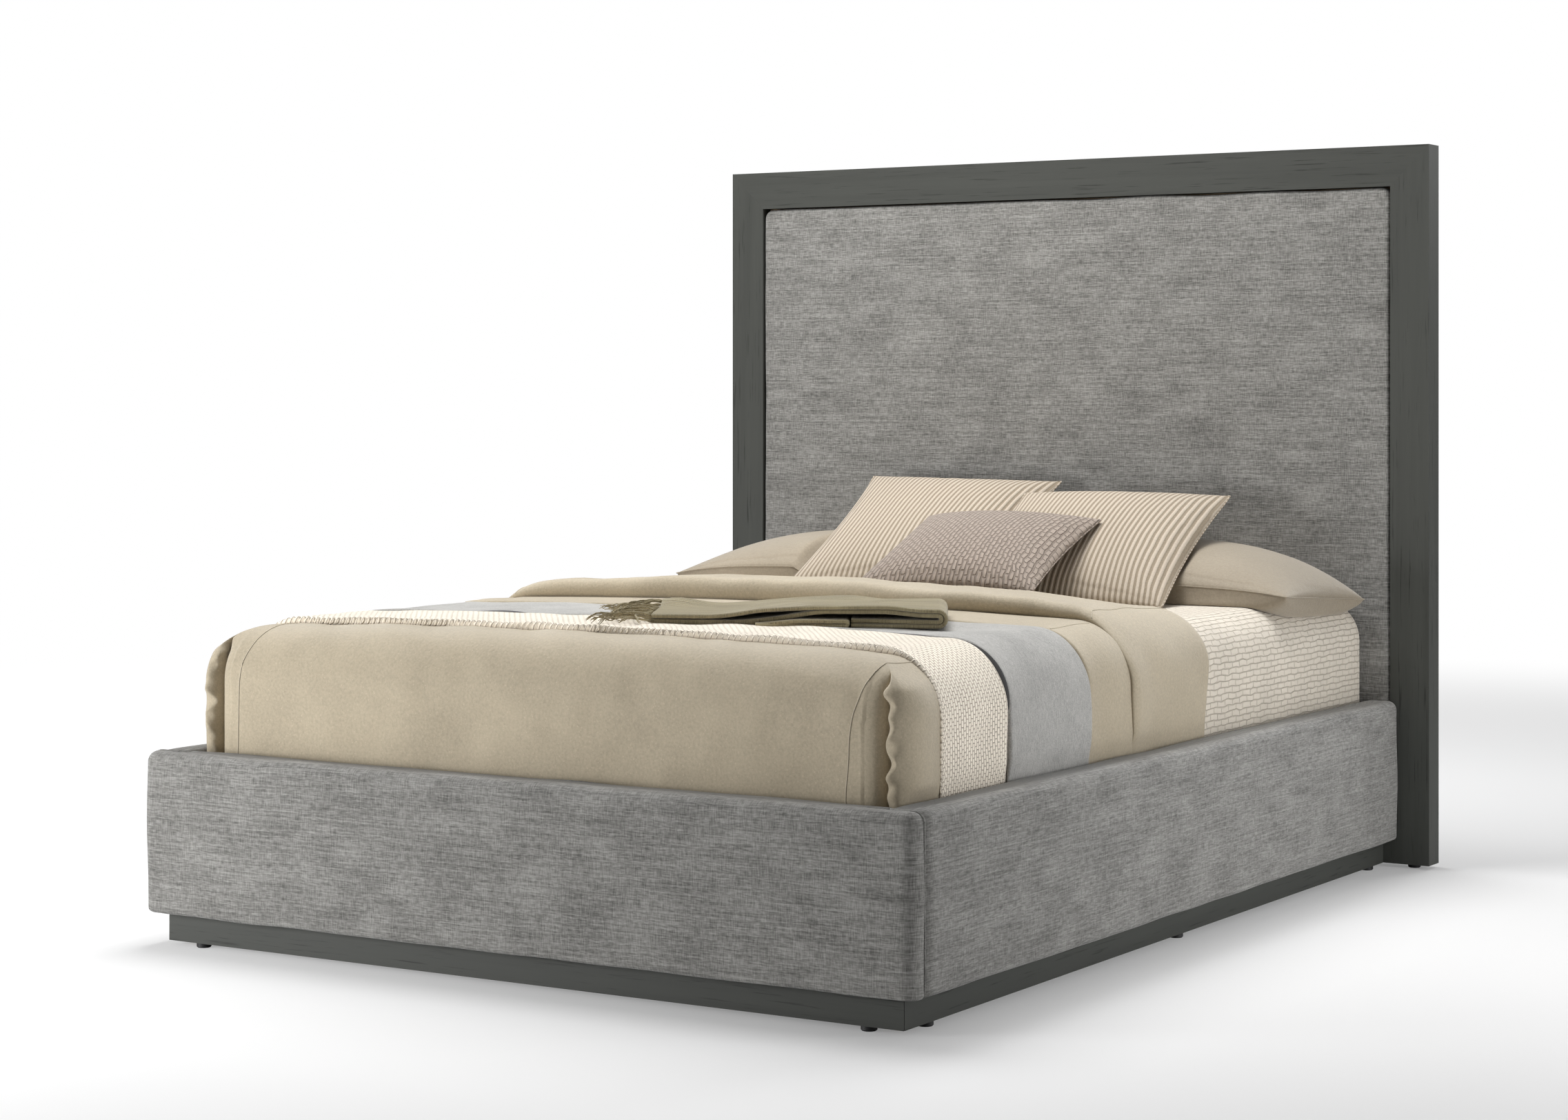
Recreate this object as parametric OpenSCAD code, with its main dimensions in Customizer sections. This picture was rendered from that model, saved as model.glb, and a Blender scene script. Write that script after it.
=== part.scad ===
// Queen-size upholstered platform bed with a tall framed headboard, made up with bedding.
// X runs to the right seen from the foot, Y towards the head, Z up.
// The origin is on the floor under the middle of the bed. All sizes are in millimetres.

/* [Mattress] */
// Width of the mattress
mattress_w = 1524; // [1370:1:1940]
// Length of the mattress
mattress_l = 2032; // [1880:1:2150]
// Thickness of the mattress
mattress_h = 305; // [220:5:360]
// Radius of the mattress's upright corners
mattress_corner_r = 30; // [20:5:60]
// Radius of the mattress's top edge
mattress_edge_r = 92; // [60:1:105]
// Room between the mattress and each side rail
side_slack = 10; // [9:0.5:20]
// Room between the mattress and the headboard
head_slack = 8; // [6:1:30]
// Room between the mattress and the footboard
foot_slack = 68; // [58:1:90]
// How far the mattress sinks below the top of the rails
mattress_sink = 80; // [50:5:120]

/* [Headboard] */
// Height of the headboard above the floor
headboard_h = 1602; // [1200:1:1800]
// How far the headboard stands out past each side rail
headboard_overhang = 68.5; // [40:0.5:120]
// Width of the frame members seen from the front
frame_face = 90; // [60:1:130]
// Depth of the frame members, front to back
frame_depth = 61; // [55:1:90]
// Shadow gap round the upholstered panel
pad_gap = 3; // [2:0.5:8]
// How far the panel's face lies behind the frame's face
pad_recess = 2; // [1:0.5:10]
// Thickness of the panel's padding in front of its board
pad_t = 22; // [16:1:24]
// Radius of the panel's corners, seen from the front
pad_corner_r = 22; // [12:1:40]
// Radius of the panel's padded edge
pad_edge_r = 9; // [6:1:16]
// Thickness of the panel's board
panel_board_t = 12; // [9:1:15]
// Width of the cleats that hold the panel
cleat_w = 30; // [20:1:45]
// Thickness of the headboard's back cover
back_cover_t = 4; // [3:0.5:6]

/* [Rails] */
// Height of the upholstered rails
rail_h = 306; // [280:1:380]
// Width of the rails' timber core
rail_core_t = 51; // [45:1:70]
// Wall of the hollow timber core
core_wall = 15; // [12:1:18]
// Padding on the outer face of the rails
rail_foam = 18; // [12:1:30]
// Padding on the top of the rails
rail_top_foam = 16; // [10:1:25]
// Cover on the rails' inner face
rail_inner_cover = 5; // [3:0.5:8]
// Cover under the rails
rail_under_cover = 3; // [2:0.5:5]
// Radius of the rails' outer top edge
rail_edge_r = 20; // [12:1:28]
// Radius of the rails' lower edge
rail_lower_r = 8; // [4:1:12]
// Radius of the footboard's upright front corners
foot_corner_r = 28; // [16:1:30]
// How far the footboard wraps over the ends of the side rails
foot_lap = 34; // [32:1:44]

/* [Plinth] */
// Height of the plinth
plinth_h = 55; // [40:1:90]
// Thickness of the plinth boards
plinth_t = 22; // [16:1:30]
// How far the plinth stands back under the upholstery
plinth_inset = 38; // [20:1:60]
// Open joint at the plinth's mitred corners
mitre_gap = 1.5; // [0:0.5:3]
// Length of the plinth's corner blocks
corner_block = 60; // [40:5:90]
// Height of the glides
glide_h = 9; // [5:1:15]
// Diameter of the glides
glide_d = 28; // [20:1:36]
// Distance of the plinth's glides from its corners
glide_margin = 75; // [50:5:120]

/* [Slat base] */
// Number of slats
slat_count = 14; // [10:1:18]
// Width of a slat
slat_w = 70; // [50:1:90]
// Thickness of a slat
slat_t = 18; // [12:1:24]
// Distance from the first and last slat to the bed's ends
slat_margin = 25; // [10:5:60]
// Width and height of the ledges that carry the slats
ledge = 30; // [20:1:40]
// Width of the webbing straps
strap_w = 30; // [20:1:50]
// Thickness of the webbing straps
strap_t = 1.5; // [1:0.5:3]
// Width of the centre beam
beam_w = 40; // [30:1:60]
// Height of the centre beam
beam_h = 70; // [50:1:90]
// Wall of the steel cups that hold the beam
cup_wall = 2.5; // [2:0.5:4]
// Depth of the cups along the beam
cup_depth = 45; // [30:5:70]
// Number of centre legs
leg_count = 3; // [2:1:5]
// Side of a centre leg
leg_w = 45; // [35:1:60]

/* [Fittings] */
// Diameter of the connector bolts
bolt_d = 8; // [6:1:10]
// Diameter of a connector bolt's head
bolt_head_d = 18; // [14:1:20]
// Thickness of a connector bolt's head
bolt_head_t = 3; // [2:0.5:5]
// Depth of the counterbore for a bolt head
counterbore = 6; // [4:0.5:10]
// Length of a connector bolt's shank
bolt_l = 110; // [95:5:120]
// Diameter of the barrel nuts
nut_d = 14; // [12:1:16]
// Length of the solid blocks in the ends of the hollow rails
end_block = 90; // [75:5:140]
// Leg of the steel corner angles
angle_leg = 70; // [50:5:100]
// Height of the steel corner angles
angle_h = 110; // [80:5:140]
// Thickness of the steel corner angles
angle_t = 4; // [3:0.5:6]
// Length of the bolts through the corner angles
angle_bolt_l = 34; // [24:1:40]

/* [Bedding] */
// Thickness of the fitted sheet
sheet_t = 2.5; // [2:0.5:4]
// Length of sheet left bare at the head
sheet_show = 836; // [700:1:900]
// Length of coverlet that shows on the top, from the mattress's foot edge
coverlet_show = 90; // [60:1:100]
// Length of duvet that shows below the turned-back part
strip_l = 176; // [120:1:240]
// Length of the grey blanket
grey_l = 323; // [250:1:380]
// Length of the waffle blanket
waffle_l = 238; // [180:1:300]
// Thickness of the blankets at the sides
blanket_side_t = 4; // [3:0.5:5]
// Thickness of the coverlet on the top
coverlet_t = 10; // [8:1:16]
// Thickness of the coverlet over the foot end
coverlet_foot_t = 46; // [36:1:50]
// Thickness of the waffle blanket
waffle_t = 17; // [12:1:22]
// Thickness of the grey blanket
grey_t = 13; // [10:1:20]
// Thickness of the duvet where it lies single
duvet_t = 14; // [10:1:20]
// Thickness of the duvet where it is turned back
fold_t = 52; // [36:1:60]
// Extra height of the bedding along the bed's middle
crown = 11; // [4:1:16]
// How far the blankets are tucked below the top of the rails
tuck = 40; // [20:5:60]

/* [Pillows] */
// Width of the sleeping pillows
pillow_w = 750; // [600:5:780]
// Depth of the sleeping pillows
pillow_d = 445; // [380:5:460]
// Height of the sleeping pillows
pillow_h = 126; // [100:1:140]
// Side of the striped cushions
cushion_w = 500; // [440:5:510]
// Height of the striped cushions' faces
cushion_up = 62; // [45:1:66]
// Side of the small cushion
small_w = 418; // [360:2:440]
// Height of the small cushion's face
small_up = 58; // [40:1:66]

/* [Throw] */
// Length of the folded throw
throw_l = 545; // [400:5:600]
// Width of the folded throw
throw_w = 285; // [220:5:340]
// Thickness of the throw's doubled cloth
throw_t = 11; // [8:0.5:12]
// Radius of the throw's turned end
throw_turn_r = 18; // [16:0.5:22]
// Length of the throw's fringe
fringe_l = 122; // [60:2:130]

/* [Hidden] */

// clearances
soft_gap = 0.3;      // between soft pieces, and between the mattress and the slats
bolt_gap = 0.5;      // round bolts and barrel nuts
slat_gap = 2;        // between a slat's end and the rail
cup_gap = 0.5;       // round the beam in its cups
panel_wrap = 3;      // cover wrapped round the edge of the panel's board
block_gap = 0.2;     // round the blocks in the hollow rails
facet_slack = 14;    // between the flat facets of a pillow and the sheet's rounded edge

// plan
rail_t = rail_inner_cover + rail_core_t + rail_foam;
rail_in = mattress_w / 2 + side_slack;
rail_out = rail_in + rail_t;
core_in = rail_in + rail_inner_cover;
core_out = core_in + rail_core_t;
headboard_w = 2 * (rail_out + headboard_overhang);
post_in = headboard_w / 2 - frame_face;
overall_l = frame_depth + head_slack + mattress_l + foot_slack + rail_t - rail_inner_cover;
y_face = overall_l / 2 - frame_depth;
y_back = overall_l / 2;
y_foot = -overall_l / 2;
y_seam = y_foot + foot_lap;
foot_t = rail_t - rail_inner_cover;
y_foot_in = y_foot + foot_t;
foot_core_back = y_foot_in - rail_inner_cover;
foot_core_front = y_foot + rail_foam;
plinth_out = rail_out - plinth_inset;
y_plinth = y_foot + plinth_inset - 4;

// heights
rail_z0 = glide_h + plinth_h;
rail_z1 = rail_z0 + rail_h;
core_z0 = rail_z0 + rail_under_cover;
core_z1 = rail_z1 - rail_top_foam;
slat_z1 = rail_z1 - mattress_sink;
slat_z0 = slat_z1 - slat_t;
beam_z0 = slat_z0 - beam_h;
lower_board_z1 = slat_z1 + 6;
opening_z0 = lower_board_z1;
opening_z1 = headboard_h - frame_face;

// fittings
nut_inset = 45;      // from the rail's end to the barrel nut
bolt_x = (core_in + core_out) / 2;
bolt_zs = [rail_z0 + rail_h / 4, rail_z0 + rail_h * 0.62];
angle_z0 = slat_z0 - ledge - angle_h - 8;

// mattress and bedding
mattress_y1 = y_face - head_slack;
mattress_y0 = mattress_y1 - mattress_l;
mattress_z0 = slat_z1 + soft_gap;
mattress_z1 = mattress_z0 + mattress_h;
sheet_in = soft_gap;
sheet_out = soft_gap + sheet_t;
sheet_z1 = mattress_z1 + sheet_out;
cover_in = sheet_out + soft_gap;
cover_z0 = rail_z1 - tuck;
arch_half = mattress_w / 2 + cover_in;
arch_top = mattress_z1 + cover_in;
arch_r = mattress_edge_r + cover_in;
waffle_y0 = mattress_y0 + coverlet_show;
grey_y0 = waffle_y0 + waffle_l;
strip_y0 = grey_y0 + grey_l;
fold_y0 = strip_y0 + strip_l;
fold_y1 = y_face - sheet_show;
fold_l = fold_y1 - fold_y0;    // the duvet's turned-back part
pillow_z = sheet_z1 + soft_gap;

// ---- shapes worked out as lists of points ----

function arc(c, r, a0, a1, n) = [for (i = [0:n]) c + r * [cos(a0 + (a1 - a0) * i / n), sin(a0 + (a1 - a0) * i / n)]];
function reversed(v) = [for (i = [len(v) - 1:-1:0]) v[i]];

// A rectangle with round corners, centred, anticlockwise
function round_rect(w, h, r, n) = concat(
    arc([w / 2 - r, h / 2 - r], r, 0, 90, n), arc([r - w / 2, h / 2 - r], r, 90, 180, n),
    arc([r - w / 2, r - h / 2], r, 180, 270, n), arc([w / 2 - r, r - h / 2], r, 270, 360, n));

// A solid skinned over rings that hold the same even number of points. Point i lies across from
// point n - 1 - i, and the end faces are closed by a ladder between them.
module loft(rings) {
    n = len(rings[0]);
    last = (len(rings) - 1) * n;
    polyhedron(
        points = [for (ring = rings) each ring],
        faces = concat(
            [for (i = [0:n / 2 - 2]) each [[i, i + 1, n - 1 - i], [i + 1, n - 2 - i, n - 1 - i]]],
            [for (k = [0:len(rings) - 2], i = [0:n - 1])
                let (a = k * n + i, b = k * n + (i + 1) % n)
                each [[a, a + n, b], [b, a + n, b + n]]],
            [for (i = [0:n / 2 - 2])
                each [[last + n - 1 - i, last + i + 1, last + i], [last + n - 1 - i, last + n - 2 - i, last + i + 1]]]),
        convexity = 6);
}

// Steps of a rounded edge: how far in and how far along, for an edge of radius r
function edge_steps(r, n) = [for (i = [0:n]) [r * (1 - sin(90 * i / n)), r * (1 - cos(90 * i / n))]];

// A block standing on z0 with round upright corners, a soft upper edge and a soft lower edge
function cushion_rings(w, d, z0, z1, corner, top_r, low_r, n) = concat(
    [for (s = edge_steps(low_r, 3)) [for (p = round_rect(w - 2 * s[0], d - 2 * s[0], corner - s[0], n)) [p[0], p[1], z0 + s[1]]]],
    [for (s = reversed(edge_steps(top_r, 6))) [for (p = round_rect(w - 2 * s[0], d - 2 * s[0], corner - s[0] > 1 ? corner - s[0] : 1, n)) [p[0], p[1], z1 - s[1]]]]);

// ---- headboard ----

module post(side) {
    difference() {
        translate([0, y_back, 0]) rotate([90, 0, 0]) linear_extrude(frame_depth)
            polygon([
                [side * post_in, glide_h], [side * headboard_w / 2, glide_h],
                [side * headboard_w / 2, headboard_h], [side * post_in, headboard_h - frame_face]]);
        head_bolt_holes(side);
    }
}

module headboard_post_left() { color([0.30, 0.31, 0.30]) post(-1); }
module headboard_post_right() { color([0.30, 0.31, 0.30]) post(1); }

// The top rail meets both posts in mitres
module headboard_top_rail() {
    color([0.30, 0.31, 0.30]) translate([0, y_back, 0]) rotate([90, 0, 0]) linear_extrude(frame_depth)
        polygon([
            [-post_in, opening_z1], [post_in, opening_z1],
            [headboard_w / 2, headboard_h], [-headboard_w / 2, headboard_h]]);
}

// The wide board between the posts that the rails bolt to
module headboard_lower_board() {
    color([0.29, 0.30, 0.29]) difference() {
        translate([-post_in, y_face, glide_h]) cube([2 * post_in, frame_depth, lower_board_z1 - glide_h]);
        for (side = [-1, 1]) head_bolt_holes(side);
    }
}

// Holes for the connector bolts, counterbored at the back
module head_bolt_holes(side) {
    for (z = bolt_zs) translate([side * bolt_x, 0, z]) rotate([-90, 0, 0]) {
        translate([0, 0, y_face - 1]) cylinder(d = bolt_d + 2 * bolt_gap, h = frame_depth + 2, $fn = 24);
        translate([0, 0, y_back - counterbore]) cylinder(d = bolt_head_d + 4 * bolt_gap, h = counterbore + 1, $fn = 24);
    }
}

pad_back = y_face + pad_recess + pad_t;
board_back = pad_back + panel_board_t;
pad_w = 2 * (post_in - pad_gap);
pad_h = opening_z1 - opening_z0 - 2 * pad_gap;
pad_zc = (opening_z0 + opening_z1) / 2;
cleat_t = frame_depth - pad_recess - pad_t - panel_board_t - back_cover_t;

// Strips round the inside of the frame, behind the panel
module headboard_cleats() {
    color([0.74, 0.62, 0.46]) difference() {
        translate([-post_in, board_back, opening_z0]) cube([2 * post_in, cleat_t, opening_z1 - opening_z0]);
        translate([cleat_w - post_in, board_back - 1, opening_z0 + cleat_w])
            cube([2 * (post_in - cleat_w), cleat_t + 2, opening_z1 - opening_z0 - 2 * cleat_w]);
    }
}

module headboard_cross_batten() {
    color([0.74, 0.62, 0.46]) translate([cleat_w - post_in, board_back, pad_zc - cleat_w])
        cube([2 * (post_in - cleat_w), cleat_t, 2 * cleat_w]);
}

module headboard_panel_board() {
    color([0.76, 0.64, 0.47]) translate([-pad_w / 2 + panel_wrap, pad_back, pad_zc - pad_h / 2 + panel_wrap])
        cube([pad_w - 2 * panel_wrap, panel_board_t, pad_h - 2 * panel_wrap]);
}

// Padding and fabric, crowned towards the middle and wrapped round its board
module headboard_pad() {
    steps = edge_steps(pad_edge_r, 4);
    rise = pad_recess;
    color([0.58, 0.58, 0.57]) difference() {
        translate([0, board_back, pad_zc]) rotate([90, 0, 0]) loft(concat(
            [[for (p = round_rect(pad_w, pad_h, pad_corner_r, 5)) [p[0], p[1], 0]]],
            [for (s = reversed(steps)) [for (p = round_rect(pad_w - 2 * s[0], pad_h - 2 * s[0], pad_corner_r - s[0], 5))
                [p[0], p[1], pad_t + panel_board_t - rise - s[1]]]],
            [[for (p = round_rect(pad_w - 240, pad_h - 240, 60, 5)) [p[0], p[1], pad_t + panel_board_t - rise * 0.3]],
             [for (p = round_rect(pad_w - 640, pad_h - 640, 60, 5)) [p[0], p[1], pad_t + panel_board_t]]]));
        translate([-pad_w / 2 + panel_wrap, pad_back, pad_zc - pad_h / 2 + panel_wrap])
            cube([pad_w - 2 * panel_wrap, panel_board_t + 1, pad_h - 2 * panel_wrap]);
    }
}

module headboard_back_cover() {
    color([0.16, 0.16, 0.16]) translate([-post_in, y_back - back_cover_t, opening_z0])
        cube([2 * post_in, back_cover_t, opening_z1 - opening_z0]);
}

// ---- side rails and footboard ----

// Hollow timber core of a side rail, open at its ends for the end blocks
module side_rail(side) {
    l = y_face - y_seam;
    difference() {
        translate([side > 0 ? core_in : -core_out, y_seam, core_z0]) cube([rail_core_t, l, core_z1 - core_z0]);
        translate([side > 0 ? core_in + core_wall : -core_out + core_wall, y_seam - 1, core_z0 + core_wall])
            cube([rail_core_t - 2 * core_wall, l + 2, core_z1 - core_z0 - 2 * core_wall]);
        barrel_nut_holes(side);
        angle_bolt_holes();
    }
}

module side_rail_left() { color([0.76, 0.64, 0.47]) side_rail(-1); }
module side_rail_right() { color([0.76, 0.64, 0.47]) side_rail(1); }

// Solid blocks that fill both ends of each hollow rail and take its fittings
module rail_end_blocks() {
    color([0.70, 0.56, 0.40]) difference() {
        for (side = [-1, 1], y = [y_face - end_block, y_seam])
            translate([side * bolt_x - rail_core_t / 2 + core_wall + block_gap, y, core_z0 + core_wall + block_gap])
                cube([rail_core_t - 2 * core_wall - 2 * block_gap, end_block, core_z1 - core_z0 - 2 * core_wall - 2 * block_gap]);
        for (side = [-1, 1], z = bolt_zs) translate([side * bolt_x, y_face + 1, z]) rotate([90, 0, 0])
            cylinder(d = bolt_d + 2 * bolt_gap, h = bolt_l + 1, $fn = 24);
        for (side = [-1, 1]) barrel_nut_holes(side);
        angle_bolt_holes();
    }
}

// Cross holes for the barrel nuts, drilled in from the rail's inner face
module barrel_nut_holes(side) {
    for (z = bolt_zs) translate([side * (rail_in - 1), y_face - nut_inset, z]) rotate([0, side * 90, 0])
        cylinder(d = nut_d + 2 * bolt_gap, h = rail_inner_cover + rail_core_t - core_wall / 2, $fn = 24);
}

// Foam and fabric round a side rail; its section has a soft top and crisper lower edges
function rail_section(half_t, z0, z1, r_top, r_low) = concat(
    arc([half_t - r_top, z1 - r_top], r_top, 0, 90, 5), arc([r_top * 0.6 - half_t, z1 - r_top * 0.6], r_top * 0.6, 90, 180, 5),
    arc([r_low - half_t, z0 + r_low], r_low, 180, 270, 3), arc([half_t - r_low, z0 + r_low], r_low, 270, 360, 3));

module side_rail_jacket(side) {
    l = y_face - y_seam;
    mid = (rail_in + rail_out) / 2;
    round_end = rail_edge_r * 0.8;
    difference() {
        translate([side * mid, y_seam, 0]) mirror([side > 0 ? 0 : 1, 0, 0]) loft(reversed(concat(
            [for (y = [0, l - round_end]) [for (p = rail_section(rail_t / 2, rail_z0, rail_z1, rail_edge_r, rail_lower_r)) [p[0], y, p[1]]]],
            [for (a = [30, 60, 90]) let (s = round_end * (1 - cos(a)))
                [for (p = rail_section(rail_t / 2, rail_z0, rail_z1 - s, rail_edge_r, rail_lower_r)) [p[0], l - round_end * (1 - sin(a)), p[1]]]])));
        translate([side > 0 ? core_in : -core_out, y_seam - 1, core_z0]) cube([rail_core_t, l + 2, core_z1 - core_z0]);
        barrel_nut_holes(side);
        angle_bolt_holes();
    }
}

module side_rail_jacket_left() { color([0.58, 0.58, 0.57]) side_rail_jacket(-1); }
module side_rail_jacket_right() { color([0.58, 0.58, 0.57]) side_rail_jacket(1); }

// The footboard's core is rebated at its ends, and the side rails butt into the rebates
module foot_core() {
    lap_back = y_seam - rail_under_cover;
    translate([0, 0, core_z0]) linear_extrude(core_z1 - core_z0) polygon([
        [-rail_out + rail_foam, foot_core_front], [rail_out - rail_foam, foot_core_front],
        [rail_out - rail_foam, lap_back], [rail_in - rail_under_cover, lap_back],
        [rail_in - rail_under_cover, foot_core_back], [-rail_in + rail_under_cover, foot_core_back],
        [-rail_in + rail_under_cover, lap_back], [-rail_out + rail_foam, lap_back]]);
}

module footboard() {
    color([0.76, 0.64, 0.47]) difference() {
        foot_core();
        angle_bolt_holes();
    }
}

// Plan of the footboard's jacket, drawn in by s on its outer sides and by t on its inner side
function foot_plan(s, t) = let (r = foot_corner_r - s, x = rail_out - s) concat(
    [[-x, y_foot_in - t]], arc([r - x, y_foot + s + r], r, 180, 270, 6),
    arc([x - r, y_foot + s + r], r, 270, 360, 6), [[x, y_foot_in - t]]);

module footboard_jacket() {
    low = edge_steps(rail_lower_r, 3);
    top = reversed(edge_steps(rail_edge_r, 5));
    color([0.60, 0.60, 0.59]) difference() {
        loft(concat(
            [for (s = low) [for (p = foot_plan(s[0], s[0])) [p[0], p[1], rail_z0 + s[1]]]],
            [for (s = top) [for (p = foot_plan(s[0], s[0] * 0.6)) [p[0], p[1], rail_z1 - s[1]]]]));
        for (side = [-1, 1]) translate([side > 0 ? rail_in : -rail_in - 2 * rail_t, y_seam, rail_z0 - 1])
            cube([2 * rail_t, 2 * foot_t, rail_h + 2]);
        foot_core();
        angle_bolt_holes();
    }
}

// ---- plinth and glides ----

module plinth_side(side) {
    translate([0, 0, glide_h]) linear_extrude(plinth_h) polygon([
        [side * plinth_out, y_face], [side * plinth_out, y_plinth + mitre_gap],
        [side * (plinth_out - plinth_t), y_plinth + plinth_t + mitre_gap], [side * (plinth_out - plinth_t), y_face]]);
}

module plinth_side_left() { color([0.27, 0.28, 0.27]) plinth_side(-1); }
module plinth_side_right() { color([0.27, 0.28, 0.27]) plinth_side(1); }

module plinth_front() {
    color([0.27, 0.28, 0.27]) translate([0, 0, glide_h]) linear_extrude(plinth_h) polygon([
        [-plinth_out, y_plinth], [plinth_out, y_plinth],
        [plinth_out - plinth_t, y_plinth + plinth_t], [plinth_t - plinth_out, y_plinth + plinth_t]]);
}

// Glue blocks in the plinth's four corners
module plinth_blocks() {
    x = plinth_out - plinth_t;
    color([0.70, 0.56, 0.40]) translate([0, 0, glide_h]) linear_extrude(plinth_h) for (side = [-1, 1]) {
        polygon([
            [side * x, y_plinth + plinth_t + mitre_gap + corner_block], [side * x, y_plinth + plinth_t + mitre_gap],
            [side * (x - mitre_gap), y_plinth + plinth_t], [side * (x - corner_block), y_plinth + plinth_t]]);
        polygon([[side * x, y_face - corner_block], [side * x, y_face], [side * (x - corner_block), y_face]]);
    }
}

module glide() {
    rotate_extrude($fn = 24) polygon([
        [0, 0], [glide_d / 2 - 2, 0], [glide_d / 2, 2], [glide_d / 2, glide_h], [0, glide_h]]);
}

module plinth_glides() {
    x = plinth_out - plinth_t / 2;
    inner = glide_d / 2 - plinth_t / 2 + 1;
    color([0.06, 0.06, 0.06]) {
        for (side = [-1, 1]) translate([side * (plinth_out - glide_margin), y_plinth + plinth_t / 2 + inner, 0]) glide();
        for (side = [-1, 1], y = [y_plinth + 1.3 * glide_margin, 0, y_face - 0.8 * glide_margin])
            translate([side * (x - inner), y, 0]) glide();
    }
}

module headboard_glides() {
    color([0.06, 0.06, 0.06]) for (side = [-1, 1])
        translate([side * (headboard_w / 2 - frame_face / 2), y_face + frame_depth / 2, 0]) glide();
}

// ---- slat base ----

module slat_ledge(side) {
    translate([side > 0 ? rail_in - ledge : -rail_in, y_foot_in + slat_margin / 2, slat_z0 - ledge])
        cube([ledge, y_face - y_foot_in - slat_margin, ledge]);
}

module slat_ledge_left() { color([0.76, 0.64, 0.47]) slat_ledge(-1); }
module slat_ledge_right() { color([0.76, 0.64, 0.47]) slat_ledge(1); }

slat_pitch = (y_face - y_foot_in - 2 * slat_margin - slat_w) / (slat_count - 1);

module slats() {
    color([0.80, 0.69, 0.52]) for (i = [0:slat_count - 1])
        translate([slat_gap - rail_in, y_foot_in + slat_margin + i * slat_pitch, slat_z0])
            cube([2 * (rail_in - slat_gap), slat_w, slat_t]);
}

module slat_straps() {
    color([0.85, 0.84, 0.80]) for (side = [-1, 1])
        translate([side * mattress_w / 4 - strap_w / 2, y_foot_in + slat_margin, slat_z0 - strap_t])
            cube([strap_w, y_face - y_foot_in - 2 * slat_margin, strap_t]);
}

module centre_beam() {
    color([0.76, 0.64, 0.47]) translate([-beam_w / 2, y_foot_in + cup_wall + cup_gap, beam_z0])
        cube([beam_w, y_face - y_foot_in - 2 * (cup_wall + cup_gap), beam_h]);
}

// A steel cup open at the top and towards the beam, screwed to the board behind it
module beam_cup() {
    w = beam_w + 2 * cup_gap;
    difference() {
        translate([-w / 2 - cup_wall, 0, beam_z0 - cup_wall]) cube([w + 2 * cup_wall, cup_depth, beam_h * 0.8]);
        translate([-w / 2, cup_wall, beam_z0]) cube([w, cup_depth, beam_h]);
    }
}

module beam_cups() {
    color([0.55, 0.56, 0.58]) {
        translate([0, y_foot_in, 0]) beam_cup();
        translate([0, y_face, 0]) mirror([0, 1, 0]) beam_cup();
    }
}

leg_pitch = (y_face - y_foot_in) / (leg_count + 1);

module centre_legs() {
    color([0.70, 0.56, 0.40]) for (i = [1:leg_count])
        translate([-leg_w / 2, y_foot_in + i * leg_pitch - leg_w / 2, glide_h]) cube([leg_w, leg_w, beam_z0 - glide_h]);
}

module centre_leg_glides() {
    color([0.06, 0.06, 0.06]) for (i = [1:leg_count]) translate([0, y_foot_in + i * leg_pitch, 0]) glide();
}

// ---- fittings ----

// Connector bolts from the back of the headboard into the side rails
module head_bolts() {
    color([0.62, 0.63, 0.65]) for (side = [-1, 1], z = bolt_zs)
        translate([side * bolt_x, y_back - counterbore, z]) rotate([90, 0, 0]) difference() {
            union() {
                translate([0, 0, -bolt_head_t]) cylinder(d = bolt_head_d, h = bolt_head_t, $fn = 24);
                cylinder(d = bolt_d, h = bolt_l, $fn = 24);
            }
            translate([0, 0, -bolt_head_t - 1]) cylinder(d = bolt_d * 0.7, h = bolt_head_t * 0.7 + 1, $fn = 6);
        }
}

module barrel_nuts() {
    color([0.62, 0.63, 0.65]) for (side = [-1, 1], z = bolt_zs)
        translate([side * bolt_x, y_face - nut_inset, z]) difference() {
            rotate([0, 90, 0]) cylinder(d = nut_d, h = rail_core_t - core_wall * 1.2, center = true, $fn = 24);
            rotate([90, 0, 0]) cylinder(d = bolt_d + 2 * block_gap, h = nut_d + 2, center = true, $fn = 24);
        }
}

// Steel angles in the inner foot corners, under the slat ledges
module corner_angles() {
    color([0.55, 0.56, 0.58]) difference() {
        for (side = [-1, 1]) translate([0, 0, angle_z0]) linear_extrude(angle_h) polygon([
            [side * rail_in, y_foot_in], [side * (rail_in - angle_leg), y_foot_in],
            [side * (rail_in - angle_leg), y_foot_in + angle_t], [side * (rail_in - angle_t), y_foot_in + angle_t],
            [side * (rail_in - angle_t), y_foot_in + angle_leg], [side * rail_in, y_foot_in + angle_leg]]);
        angle_bolt_holes();
    }
}

// Places of the four bolts through each corner angle: two into the rail and two into the footboard
module at_angle_bolts() {
    for (side = [-1, 1], z = [angle_z0 + angle_h / 4, angle_z0 + angle_h * 3 / 4]) {
        translate([side * (rail_in - angle_t), y_foot_in + angle_leg * 0.65, z]) rotate([0, side * 90, 0]) children();
        translate([side * (rail_in - angle_leg * 0.65), y_foot_in + angle_t, z]) rotate([90, 0, 0]) children();
    }
}

module angle_bolt_holes() {
    at_angle_bolts() translate([0, 0, -1]) cylinder(d = bolt_d + 2 * bolt_gap, h = angle_bolt_l + 2, $fn = 24);
}

module corner_bolts() {
    color([0.62, 0.63, 0.65]) at_angle_bolts() {
        cylinder(d = bolt_d, h = angle_bolt_l, $fn = 24);
        translate([0, 0, -bolt_head_t * 1.6]) cylinder(d = bolt_d * 1.7, h = bolt_head_t * 1.6, $fn = 6);
    }
}

// ---- mattress and bedding ----

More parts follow.
